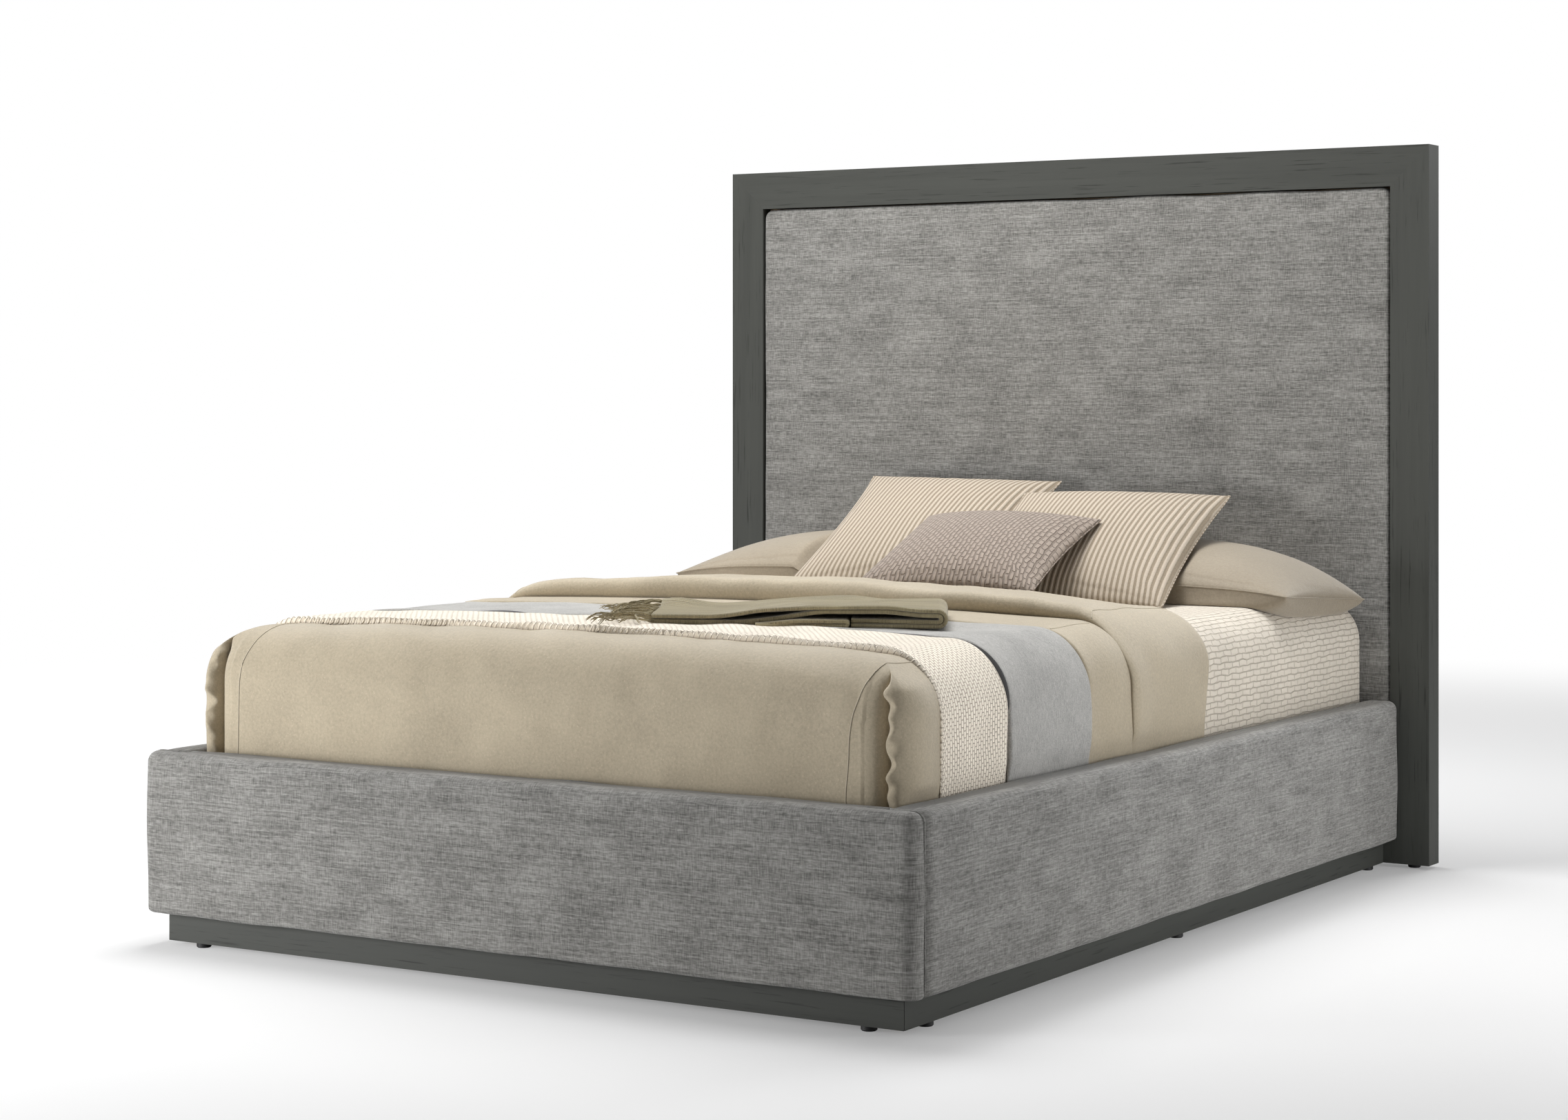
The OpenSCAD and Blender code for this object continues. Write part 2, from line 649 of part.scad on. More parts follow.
module mattress() {
    color([0.93, 0.92, 0.90]) translate([0, (mattress_y0 + mattress_y1) / 2, 0])
        loft(cushion_rings(mattress_w, mattress_l, mattress_z0, mattress_z1, mattress_corner_r, mattress_edge_r, 25, 5));
}

// The mattress's outline grown by g, from z0 up to its soft upper edge
module mattress_form(g, z0) {
    translate([0, (mattress_y0 + mattress_y1) / 2, 0]) loft(concat(
        [[for (p = round_rect(mattress_w + 2 * g, mattress_l + 2 * g, mattress_corner_r + g, 5)) [p[0], p[1], z0]]],
        [for (s = reversed(edge_steps(mattress_edge_r + g, 6)))
            [for (p = round_rect(mattress_w + 2 * g - 2 * s[0], mattress_l + 2 * g - 2 * s[0],
                    max(1, mattress_corner_r + g - s[0]), 5))
                [p[0], p[1], mattress_z1 + g - s[1]]]]));
}

module fitted_sheet() {
    color([0.90, 0.87, 0.81]) difference() {
        mattress_form(sheet_out, cover_z0 - 10);
        mattress_form(sheet_in, cover_z0 - 20);
    }
}

// Half of a bed's section from the tuck up over the edge, grown by side and up
function arch(side, up, swell) = let (h = arch_half + side, t = arch_top + up, r = arch_r + side + up * 1.1) concat(
    [[h, cover_z0]], arc([h - r, t - r], r, 0, 90, 6),
    [for (i = [1:7]) let (x = (h - r) * (1 - i / 4)) [x, t + swell * (1 - pow(x / (h - r), 2))]],
    arc([r - h, t - r], r, 90, 180, 6), [[-h, cover_z0]]);

module blanket(y0, y1, t) {
    translate([0, y1, 0]) rotate([90, 0, 0]) linear_extrude(y1 - y0)
        polygon(concat(arch(blanket_side_t, t, crown), reversed(arch(0, 0, 0))));
}

module waffle_blanket() { color([0.90, 0.86, 0.78]) blanket(waffle_y0, grey_y0, waffle_t); }
module grey_blanket() { color([0.62, 0.63, 0.65]) blanket(grey_y0, strip_y0, grey_t); }

// One duvet: single thickness towards the foot, then turned back in a full roll that thins to its rear edge
module duvet() {
    roll = fold_t * 0.5;
    stations = concat(
        [[strip_y0, duvet_t, crown], [fold_y0 - 2, duvet_t, crown]],
        [for (a = [0:22.5:90]) [fold_y0 + roll * (1 - cos(a)), duvet_t + (fold_t - duvet_t) * sin(a), crown * (1 + 1.3 * sin(a))]],
        [[fold_y0 + fold_l * 0.45, fold_t * 0.86, crown * 2.4], [fold_y1 - roll * 0.6, fold_t * 0.52, crown * 2.4],
         [fold_y1 - roll * 0.15, fold_t * 0.36, crown * 2], [fold_y1, fold_t * 0.15, crown * 1.5]]);
    color([0.74, 0.70, 0.62]) loft([for (s = reversed(stations))
        [for (p = concat(arch(blanket_side_t, s[1], s[2]), reversed(arch(0, 0, 0)))) [p[0], s[0], p[1]]]]);
}

// Half-and-half section of the coverlet's foot end: half width h, top t, corner radius r
function cover_section(h, t, r, swell, wave) = let (mid = (cover_z0 + t - r) / 2) concat(
    [[h, cover_z0], [h + wave, mid]], arc([h - r, t - r], r, 0, 90, 6),
    [for (i = [1:6]) let (x = (h - r) * (1 - i / 3.5)) [x, t + swell * (1 - pow(x / (h - r), 2))]],
    arc([r - h, t - r], r, 90, 180, 6), [[-h - wave, mid], [-h, cover_z0]]);

// The coverlet rolls over the mattress's foot edge and is pleated in at both corners.
// Each station has its angle round that edge, how far the corner is drawn in, and a ripple.
module foot_coverlet() {
    z1 = arch_top + coverlet_t;
    r = arch_r + coverlet_t;
    y0 = mattress_y0 - cover_in - coverlet_foot_t;
    stations = concat(
        [[waffle_y0, 0, z1, 0, crown]],
        [for (t = [[90, 0, 0], [79, 0, 2], [68, 1, 4], [60, 9, -3], [52, 15, -6], [44, 3, 5], [30, 2, 6], [15, 12, 2], [0, 28, 0]])
            [y0 + r * (1 - cos(t[0])), t[1], z1 - r * (1 - sin(t[0])), t[2], crown]]);
    color([0.72, 0.67, 0.57]) difference() {
        loft([for (t = stations)
            [for (p = cover_section(arch_half + blanket_side_t - t[1], t[2], r - t[1], t[4], t[3])) [p[0], t[0], p[1]]]]);
        mattress_form(cover_in, cover_z0 - 20);
    }
}

// ---- throw ----

throw_x = 271;       // from the bed's middle to the throw's middle
throw_turn = 29;     // how far the throw is turned, in degrees
throw_tilt = 0.8;    // how far it tilts with the bedding's crown, in degrees
fringe_count = 14;   // tassels along the throw's end

// Section of the folded throw: its doubled cloth lies on the bed at the fringe, climbs over
// its own turned-under end, goes round the turn and runs back below
function throw_path() = let (
    r = throw_turn_r - throw_t / 2,
    x1 = throw_l / 2 - throw_turn_r,
    x0 = -throw_l / 2,
    under = throw_l * 0.53)
    concat(
        [for (i = [0:10]) let (x = x0 + (x1 - x0) * i / 10, f = min(1, 2.3 * i / 10))
            [x, 2 * r * f * f * (3 - 2 * f)]],
        [for (a = [60, 30, 0, -30, -60]) [x1 + r * cos(a), r + r * sin(a)]],
        [for (i = [0:3]) [x1 - under * i / 3, 0]]);

// A flat band of thickness t and width w that follows a path
module ribbon(path, t, w) {
    m = len(path);
    normals = [for (i = [0:m - 1]) let (
        a = path[max(0, i - 1)],
        b = path[min(m - 1, i + 1)],
        d = (b - a) / norm(b - a)) [-d[1], d[0]]];
    ring = concat(
        [for (i = [0:m - 1]) path[i] + normals[i] * t / 2],
        [for (i = [m - 1:-1:0]) path[i] - normals[i] * t / 2]);
    loft([for (y = [-w / 2, w / 2]) [for (p = ring) [p[0], y, p[1]]]]);
}

module place_throw() {
    translate([throw_x, grey_y0 + grey_l / 2 - 37, arch_top + max(waffle_t, grey_t) + crown * 0.85 + throw_t / 2 + 0.5])
        rotate([0, throw_tilt, 0]) rotate([0, 0, throw_turn]) children();
}

module throw_blanket() {
    color([0.42, 0.39, 0.28]) place_throw() ribbon(throw_path(), throw_t, throw_w);
}

module throw_fringe() {
    pitch = throw_w / fringe_count;
    color([0.42, 0.39, 0.28]) place_throw() for (i = [0:fringe_count - 1])
        translate([-throw_l / 2 - fringe_l, (i - fringe_count / 2 + 0.25) * pitch, -throw_t * 0.4])
            cube([fringe_l - soft_gap, pitch * 0.5, throw_t * 0.8]);
}

// ---- pillows ----

striped_left_x = 200;      // from the bed's middle to the left striped cushion's middle
striped_left_out = 285;    // from the headboard's face to its middle
striped_left_up = 130;     // height of its middle above the sheet
striped_right_x = 276;     // the same three for the right striped cushion
striped_right_out = 384;
striped_right_up = 113;
small_x = 126;             // the same three for the small cushion
small_out = 624.4;
small_rise = 109.3;

// How far the fitted sheet's top falls away at x, less the slack that a pillow's flat facets need
function bed_drop(x) = let (r = mattress_edge_r + sheet_out, d = abs(x) - mattress_w / 2 - sheet_out + r)
    d > 0 ? max(0, r - facet_slack - sqrt(r * r - min(d * d, r * r * 0.98))) : 0;

// A stuffed pillow round its seam: crowned by up above and by down below, its sides drawn in
// between the corners by pull, its fullest part set back by lean, both ends hanging by droop.
// Where it rests on the bed, lift is the height of its seam and from is its middle's x.
// With a sweep its top is the seam's outline carried that way.
module pillow(w, d, up, down, pull = 0.06, lean = 0, droop = 0, lift = 1000, from = 0, sweep = [0, 0, 0], n = 12) {
    seam = 1.5;
    ts = [for (i = [0:n]) sin(90 * (2 * i / n - 1))];
    peak = pow(1 - lean, 0.5) * pow(1 + lean, 0.5 + lean);
    loft([for (v = ts)
        let (gv = pow(max(0, 1 - v), 0.5) * pow(max(0, 1 + v), 0.5 + lean) / peak)
        concat(
            [for (u = ts) let (g = pow(1 - u * u, 0.5) * gv)
                sweep + [w / 2 * u * (1 - pull * (1 - v * v)), d / 2 * v * (1 - pull * (1 - u * u)),
                 seam + up * g - droop * pow(abs(u), 3)]],
            [for (u = reversed(ts)) let (g = pow(1 - u * u, 0.5) * gv, x = w / 2 * u * (1 - pull * (1 - v * v)))
                [x, d / 2 * v * (1 - pull * (1 - u * u)),
                 max(-lift - bed_drop(from + x), -seam - down * min(1, g * 1.5) - droop * pow(abs(u), 3))]])]);
}

module sleeping_pillow(side, lift, droop) {
    x = side * (pillow_w / 2 + 26);
    color([0.73, 0.69, 0.60]) translate([x, y_face - 20 - pillow_d / 2, pillow_z + lift])
        pillow(pillow_w, pillow_d, pillow_h - lift, lift * 1.5, pull = 0.04, lean = 0.15, droop = droop, lift = lift, from = x);
}

// The pillows are pressed in where the striped cushions lie on them, and the dents are open above
module sleeping_pillow_left() {
    difference() {
        sleeping_pillow(-1, 52, 24);
        striped_left(soft_gap);
        striped_left(soft_gap, pillow_h);
    }
}

module sleeping_pillow_right() {
    difference() {
        sleeping_pillow(1, 40, 40);
        striped_right(soft_gap);
    }
}

// The left striped cushion, g larger all round; with a rise, the room that it leaves through instead
module striped_left(g, rise = 0) {
    tilt = 29;
    spin = 1.5;
    sweep = rise * [-sin(tilt) * sin(spin), sin(tilt) * cos(spin), cos(tilt)];
    color([0.80, 0.74, 0.64]) translate([-striped_left_x, y_face - striped_left_out, pillow_z + striped_left_up]) rotate([tilt, 0, 4]) rotate([0, 0, -spin])
        pillow(cushion_w + 2 * g, cushion_w + 2 * g, rise > 0 ? 0 : cushion_up + g, 24 + g, pull = 0.09, sweep = sweep);
}

module striped_right(g) {
    color([0.80, 0.74, 0.64]) translate([striped_right_x, y_face - striped_right_out, pillow_z + striped_right_up]) rotate([26.5, 0, 5])
        pillow(cushion_w + 2 * g, cushion_w + 2 * g, cushion_up + g, 24 + g);
}

module striped_cushion_left() { striped_left(0); }
module striped_cushion_right() { striped_right(0); }

module small_cushion() {
    color([0.68, 0.61, 0.54]) translate([small_x, y_face - small_out, pillow_z + small_rise]) rotate([18.8, 0, 5])
        pillow(small_w, small_w, small_up, 20);
}

headboard_post_left();
headboard_post_right();
headboard_top_rail();
headboard_lower_board();
headboard_cleats();
headboard_cross_batten();
headboard_panel_board();
headboard_pad();
headboard_back_cover();
side_rail_left();
side_rail_right();
footboard();
rail_end_blocks();
side_rail_jacket_left();
side_rail_jacket_right();
footboard_jacket();
plinth_front();
plinth_side_left();
plinth_side_right();
plinth_blocks();
plinth_glides();
headboard_glides();
slat_ledge_left();
slat_ledge_right();
slats();
slat_straps();
centre_beam();
beam_cups();
centre_legs();
centre_leg_glides();
head_bolts();
barrel_nuts();
corner_angles();
corner_bolts();
mattress();
fitted_sheet();
foot_coverlet();
waffle_blanket();
grey_blanket();
duvet();
throw_blanket();
throw_fringe();
sleeping_pillow_left();
sleeping_pillow_right();
striped_cushion_left();
striped_cushion_right();
small_cushion();
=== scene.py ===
import math
import bmesh
import bpy
import numpy as np
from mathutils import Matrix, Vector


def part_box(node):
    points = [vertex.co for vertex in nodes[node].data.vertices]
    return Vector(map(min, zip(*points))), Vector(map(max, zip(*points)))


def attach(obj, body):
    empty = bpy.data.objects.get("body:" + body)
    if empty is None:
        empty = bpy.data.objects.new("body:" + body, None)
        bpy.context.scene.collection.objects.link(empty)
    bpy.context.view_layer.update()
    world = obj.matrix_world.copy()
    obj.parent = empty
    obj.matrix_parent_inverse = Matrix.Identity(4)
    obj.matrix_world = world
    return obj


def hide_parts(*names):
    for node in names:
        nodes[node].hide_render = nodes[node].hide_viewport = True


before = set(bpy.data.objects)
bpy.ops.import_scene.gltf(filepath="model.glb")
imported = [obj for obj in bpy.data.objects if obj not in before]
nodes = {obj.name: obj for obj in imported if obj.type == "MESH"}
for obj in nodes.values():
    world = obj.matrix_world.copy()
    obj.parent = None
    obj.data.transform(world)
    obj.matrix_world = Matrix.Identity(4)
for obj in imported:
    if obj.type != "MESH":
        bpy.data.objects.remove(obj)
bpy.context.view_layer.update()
scene = bpy.context.scene
print("frame loaded:", len(nodes), "nodes")


# Small tools
def nodeBox(name):
    # Lowest and highest corner of a CAD node at rest
    low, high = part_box(name)
    return np.array(low), np.array(high)


def gridObject(name, points, uv=None, joined=False):
    # Points (rows, columns, 3) become quads; joined closes every row into a loop, and uv then has one more column
    rows, cols = points.shape[:2]
    i, j = np.meshgrid(np.arange(rows - 1), np.arange(cols if joined else cols - 1), indexing="ij")
    after = (j + 1) % cols
    quads = np.stack([i * cols + j, i * cols + after, (i + 1) * cols + after, (i + 1) * cols + j], -1).reshape(-1, 4)
    mesh = bpy.data.meshes.new(name)
    mesh.from_pydata(points.reshape(-1, 3).tolist(), [], quads.tolist())
    if uv is not None:
        corners = np.stack([uv[i, j], uv[i, j + 1], uv[i + 1, j + 1], uv[i + 1, j]], 2)
        mesh.uv_layers.new(name="cloth").data.foreach_set("uv", corners.astype(np.float32).ravel())
    obj = bpy.data.objects.new(name, mesh)
    scene.collection.objects.link(obj)
    return obj


def tidyMesh(obj, fill=True, merge=2e-5):
    # Merges doubles, closes open ends and turns every face outwards
    work = bmesh.new()
    work.from_mesh(obj.data)
    bmesh.ops.remove_doubles(work, verts=work.verts, dist=merge)
    if fill:
        bmesh.ops.holes_fill(work, edges=[e for e in work.edges if e.is_boundary], sides=0)
    bmesh.ops.recalc_face_normals(work, faces=work.faces)
    work.to_mesh(obj.data)
    work.free()
    obj.data.polygons.foreach_set("use_smooth", np.ones(len(obj.data.polygons), bool))
    obj.data.update()
    return obj


def joinObjects(name, objs):
    # One object from several, keeping their UV maps
    with bpy.context.temp_override(active_object=objs[0], selected_editable_objects=objs, selected_objects=objs):
        bpy.ops.object.join()
    objs[0].name = objs[0].data.name = name
    return objs[0]


def dress(obj, body, material, replaced=()):
    # One material, the body it rides on, and the CAD nodes it stands for
    obj.data.materials.clear()
    obj.data.materials.append(material)
    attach(obj, body)
    if replaced:
        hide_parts(*replaced)
    return obj


def runLength(points, axis=0):
    # Distance run along a row of points: the lengths of the straight steps added up, from 0
    steps = np.linalg.norm(np.diff(points, axis=axis), axis=-1)
    return np.concatenate([np.zeros_like(np.take(steps, [0], axis)), np.cumsum(steps, axis)], axis)


def softWaves(a, b, wavelength, seed, count=7):
    # Sum of sines in seeded directions, wavelengths and phases, over the root of their count: about -1 to 1
    rng = np.random.default_rng(seed)
    total = 0
    for turn, phase, stretch in rng.uniform([0, 0, 0.65], [2 * np.pi, 2 * np.pi, 1.5], (count, 3)):
        total = total + np.sin(2 * np.pi * (a * np.cos(turn) + b * np.sin(turn)) / (wavelength * stretch) + phase)
    return total / (0.9 * math.sqrt(count))


def smooth(value, start, end):
    # 0 before start and 1 after end; between them three t squared less two t cubed
    t = np.clip((value - start) / (end - start), 0, 1)
    return t * t * (3 - 2 * t)


def tubeAlong(name, path, radius, sides):
    # A round section carried along a path: each ring is the path's point plus radius times
    # cosine across and sine upward, square to the path, and the radius may change along it
    path = np.asarray(path, float)
    along = np.gradient(path, axis=0)
    along /= np.linalg.norm(along, axis=1, keepdims=True)
    guide = np.array([0.13, 0.27, 1.0]) if abs(along[:, 2]).mean() < 0.8 else np.array([1.0, 0.2, 0.1])
    across = np.cross(along, guide)
    across /= np.linalg.norm(across, axis=1, keepdims=True)
    upward = np.cross(across, along)
    turn = np.linspace(0, 2 * np.pi, sides, endpoint=False)[None, :, None]
    size = np.broadcast_to(radius, len(path))[:, None, None]
    rings = path[:, None] + size * (np.cos(turn) * across[:, None] + np.sin(turn) * upward[:, None])
    uvTurn = np.broadcast_to(np.linspace(0, 1, sides + 1) * 2 * np.pi * np.mean(radius), (len(path), sides + 1))
    uv = np.stack([np.broadcast_to(runLength(path)[:, None], uvTurn.shape), uvTurn], -1)
    return tidyMesh(gridObject(name, rings, uv, joined=True))


# Node tools for the materials
def addNode(tree, kind, inputs=None, **settings):
    # A shader node with its settings; an input that is a socket is linked, and any other is set as a value
    made = tree.nodes.new("ShaderNode" + kind)
    for key, value in settings.items():
        setattr(made, key, value)
    for key, value in (inputs or {}).items():
        if isinstance(value, bpy.types.NodeSocket):
            tree.links.new(value, made.inputs[key])
        else:
            made.inputs[key].default_value = value
    return made


def calc(tree, operation, a, b=0.0, c=None):
    # One Math node on two or three values
    return addNode(tree, "Math", {0: a, 1: b} if c is None else {0: a, 1: b, 2: c}, operation=operation).outputs[0]


def weighted(tree, *parts):
    # Sum of values, each times its weight
    total = calc(tree, "MULTIPLY", *parts[0])
    for value, weight in parts[1:]:
        total = calc(tree, "ADD", total, calc(tree, "MULTIPLY", value, weight))
    return total


def mixColour(tree, factor, a, b):
    # Colour a times one less the factor, plus colour b times the factor
    return addNode(tree, "Mix", {0: factor, 6: a, 7: b}, data_type="RGBA").outputs[2]


def rampColour(tree, factor, stops):
    # Colour read off a ramp through the stops, in a straight line between neighbours
    ramp = addNode(tree, "ValToRGB", {0: factor})
    ramp.color_ramp.elements[0].position, ramp.color_ramp.elements[0].color = stops[0]
    ramp.color_ramp.elements[1].position, ramp.color_ramp.elements[1].color = stops[-1]
    for place, colour in stops[1:-1]:
        ramp.color_ramp.elements.new(place).color = colour
    return ramp.outputs[0]


def shade(rgb, times=1.0):
    # A colour times a factor, with full opacity
    return (rgb[0] * times, rgb[1] * times, rgb[2] * times, 1.0)


def splitUp(tree, vector):
    # The x, y and z of a vector as sockets
    return addNode(tree, "SeparateXYZ", {0: vector}).outputs


def objectMap(tree):
    # Object coordinates in metres
    return addNode(tree, "TexCoord").outputs["Object"]


def clothMap(tree):
    # The piece's own UV map, in metres of cloth
    return addNode(tree, "UVMap", uv_map="cloth").outputs[0]


def place(tree, scale):
    # Object coordinates times a scale along each axis
    return addNode(tree, "Mapping", {0: objectMap(tree), 3: scale}).outputs[0]


def onCloth(tree, scale):
    # Cloth coordinates times a scale along and across
    return addNode(tree, "Mapping", {0: clothMap(tree), 3: scale}).outputs[0]


def grainNoise(tree, vector, detail=2.0, roughness=0.5, distortion=0.0):
    # Fractal noise of stretched coordinates, about 0 to 1
    return addNode(tree, "TexNoise", {"Vector": vector, "Scale": 1.0, "Detail": detail, "Roughness": roughness,
                                      "Distortion": distortion}).outputs[0]


def beginMaterial(name, roughness, **sockets):
    # A material with its shader's roughness and named sockets set; _ in a name stands for a space
    material = bpy.data.materials.new(name)
    material.use_nodes = True
    tree = material.node_tree
    shader = tree.nodes["Principled BSDF"]
    shader.inputs["Roughness"].default_value = roughness
    for key, value in sockets.items():
        shader.inputs[key.replace("_", " ")].default_value = value
    return material, tree, shader


def addBump(tree, shader, height, strength, distance):
    # A bump of this height laid over the bumps before it
    bump = addNode(tree, "Bump", {"Height": height, "Strength": strength, "Distance": distance})
    before = shader.inputs["Normal"].links
    if before:
        tree.links.new(before[0].from_socket, bump.inputs["Normal"])
    tree.links.new(bump.outputs[0], shader.inputs["Normal"])


# Finishes
woodLook = {"tone": (0.064, 0.067, 0.060), "light": 1.14, "dark": 0.84, "roughness": 0.58}


def stainedWood(name, axis):
    # Grey-brown stain over a fine straight grain: a ramp of long noise streaks,
    # darkened where finer pore noise is low and by 0.30 of a cloudy noise
    material, tree, shader = beginMaterial(name, woodLook["roughness"], Specular_IOR_Level=0.3)
    stretch = {"x": (1.2, 34, 34), "y": (34, 1.2, 34), "z": (34, 34, 1.2)}[axis]
    streaks = grainNoise(tree, place(tree, stretch), 5.0, 0.62, 0.25)
    pores = grainNoise(tree, place(tree, tuple(6 * s for s in stretch)), 3.0, 0.6)
    clouds = grainNoise(tree, place(tree, (2.6, 2.6, 2.6)), 3.0, 0.6)
    tone = woodLook["tone"]
    colour = rampColour(tree, streaks, [(0.3, shade(tone, woodLook["dark"])), (0.52, shade(tone)),
                                        (0.74, shade(tone, woodLook["light"]))])
    poreMask = rampColour(tree, pores, [(0.30, (1, 1, 1, 1)), (0.40, (0, 0, 0, 1))])
    colour = mixColour(tree, poreMask, colour, shade(tone, 0.45))
    colour = mixColour(tree, calc(tree, "MULTIPLY", clouds, 0.30), colour, shade(tone, 0.7))
    tree.links.new(colour, shader.inputs["Base Color"])
    tree.links.new(calc(tree, "MULTIPLY_ADD", streaks, 0.18, woodLook["roughness"] - 0.09),
                   shader.inputs["Roughness"])
    return material


slubLook = {"pale": (0.345, 0.340, 0.322), "mid": (0.212, 0.208, 0.196), "deep": (0.105, 0.103, 0.096),
            "rowPitch": 0.0026, "threadPitch": 0.0024}


def slubFabric(name, mapped):
    # Striated upholstery cloth: tone is 0.30 of broken rows, 0.26 of upright
    # threads, 0.26 of long slubs and 0.18 of clouds, each a noise of the cloth's
    # length and height; mapped reads these from the UV map, or else they are x and z
    material, tree, shader = beginMaterial(name, 0.88, Sheen_Weight=0.25, Sheen_Roughness=0.5,
                                           Specular_IOR_Level=0.25)
    parts = splitUp(tree, clothMap(tree) if mapped else objectMap(tree))
    length, height = parts[0], parts[1 if mapped else 2]

    def clothNoise(perLength, perHeight, detail, roughness):
        # Flat noise of length and height, each times its count per metre
        across, upward = calc(tree, "MULTIPLY", length, perLength), calc(tree, "MULTIPLY", height, perHeight)
        vector = addNode(tree, "CombineXYZ", {0: across, 1: upward}).outputs[0]
        return addNode(tree, "TexNoise", {"Vector": vector, "Scale": 1.0, "Detail": detail, "Roughness": roughness},
                       noise_dimensions="2D").outputs[0]

    rows = clothNoise(58.0, 1 / slubLook["rowPitch"], 2.0, 0.6)
    threads = clothNoise(1 / slubLook["threadPitch"], 52.0, 2.0, 0.6)
    slubs = clothNoise(7.0, 230.0, 3.0, 0.6)
    clouds = clothNoise(9.0, 14.0, 4.0, 0.65)
    tone = weighted(tree, (rows, 0.30), (threads, 0.26), (slubs, 0.26), (clouds, 0.18))
    colour = rampColour(tree, tone, [(0.37, shade(slubLook["deep"])), (0.49, shade(slubLook["mid"])),
                                     (0.62, shade(slubLook["pale"]))])
    tree.links.new(colour, shader.inputs["Base Color"])
    addBump(tree, shader, rows, 0.55, 0.0012)
    addBump(tree, shader, threads, 0.3, 0.0006)
    return material


def plainCloth(name, tone, spread, fleck, roughness, sheen):
    # A close plain weave: tone is 0.32 of clouds and 0.68 of nap, with a very fine thread and pale flecks of lint
    material, tree, shader = beginMaterial(name, roughness, Sheen_Weight=sheen, Sheen_Roughness=0.45,
                                           Specular_IOR_Level=0.3)
    clouds = grainNoise(tree, place(tree, (7, 7, 7)), 4.0, 0.6)
    nap = grainNoise(tree, place(tree, (190, 190, 190)), 4.0, 0.7)
    thread = grainNoise(tree, place(tree, (1400, 1400, 1400)), 1.0)
    tonal = weighted(tree, (clouds, 0.32), (nap, 0.68))
    colour = rampColour(tree, tonal, [(0.32, shade(tone, 1 - spread)), (0.5, shade(tone)),
                                      (0.70, shade(tone, 1 + spread))])
    if fleck:
        spots = addNode(tree, "TexVoronoi", {"Vector": place(tree, (120, 120, 120)), "Scale": 1.0,
                                             "Randomness": 1.0}).outputs[0]
        lint = rampColour(tree, spots, [(0.10, (1, 1, 1, 1)), (0.20, (0, 0, 0, 1))])
        colour = mixColour(tree, calc(tree, "MULTIPLY", lint, fleck), colour, shade(tone, 1.5))
    tree.links.new(colour, shader.inputs["Base Color"])
    addBump(tree, shader, nap, 0.6, 0.0014)
    addBump(tree, shader, thread, 0.25, 0.0003)
    return material, tree, shader


def ribBricks(tree, length, height, gap, wobble, smoothness=0.8, turned=False):
    # Rows of raised bars, each row shifted by half a bar, on cloth coordinates moved by
    # noise times wobble: returns the bars' row-by-row tone and the furrows between them
    flat = clothMap(tree)
    if turned:
        parts = splitUp(tree, flat)
        flat = addNode(tree, "CombineXYZ", {0: parts[1], 1: parts[0]}).outputs[0]
    shift = addNode(tree, "TexNoise", {"Vector": flat, "Scale": 26.0, "Detail": 2.0}, noise_dimensions="2D")
    moved = addNode(tree, "VectorMath", {0: shift.outputs[1], 1: (0.5, 0.5, 0.5)}, operation="SUBTRACT").outputs[0]
    moved = addNode(tree, "VectorMath", {0: moved, 3: wobble}, operation="SCALE").outputs[0]
    flat = addNode(tree, "VectorMath", {0: flat, 1: moved}, operation="ADD").outputs[0]
    colours = {"Color1": (0.7, 0.7, 0.7, 1), "Color2": (1, 1, 1, 1), "Mortar": (0, 0, 0, 1)}
    sizes = {"Mortar Size": gap, "Mortar Smooth": smoothness, "Bias": 0.0, "Brick Width": length,
             "Row Height": height}
    brick = addNode(tree, "TexBrick", {"Vector": flat, "Scale": 1.0, **colours, **sizes}, offset=0.5, squash=1.0)
    return brick.outputs["Color"], brick.outputs["Fac"]


# furrow is the painted shade colour laid in the furrows between the bars
ivoryLook = {"tone": (0.86, 0.785, 0.67), "furrow": (0.42, 0.36, 0.28)}


def ribbedCotton(name, look):
    # Ivory cotton with rows of puffed bars between stitched furrows, the furrows painted darker as shade: tone is 0.6
    # of clouds and 0.4 of nap
    material, tree, shader = beginMaterial(name, 0.85, Sheen_Weight=0.2, Sheen_Roughness=0.5, Specular_IOR_Level=0.25)
    bars, furrow = ribBricks(tree, *look["bar"], look["furrow"], look["wobble"])
    clouds = grainNoise(tree, place(tree, (9, 9, 9)), 3.0, 0.6)
    nap = grainNoise(tree, place(tree, (260, 260, 260)), 3.0, 0.6)
    tone = tuple(look["times"] * part for part in ivoryLook["tone"])
    colour = rampColour(tree, weighted(tree, (clouds, 0.6), (nap, 0.4)),
                        [(0.3, shade(tone, 0.9)), (0.72, shade(tone, 1.08))])
    # Painted shade: the furrows take half of the darker furrow colour
    colour = mixColour(tree, calc(tree, "MULTIPLY", furrow, 0.5), colour, shade(ivoryLook["furrow"]))
    tree.links.new(colour, shader.inputs["Base Color"])
    addBump(tree, shader, bars, 1.0, look["depth"])
    addBump(tree, shader, nap, 0.3, 0.0006)
    return material


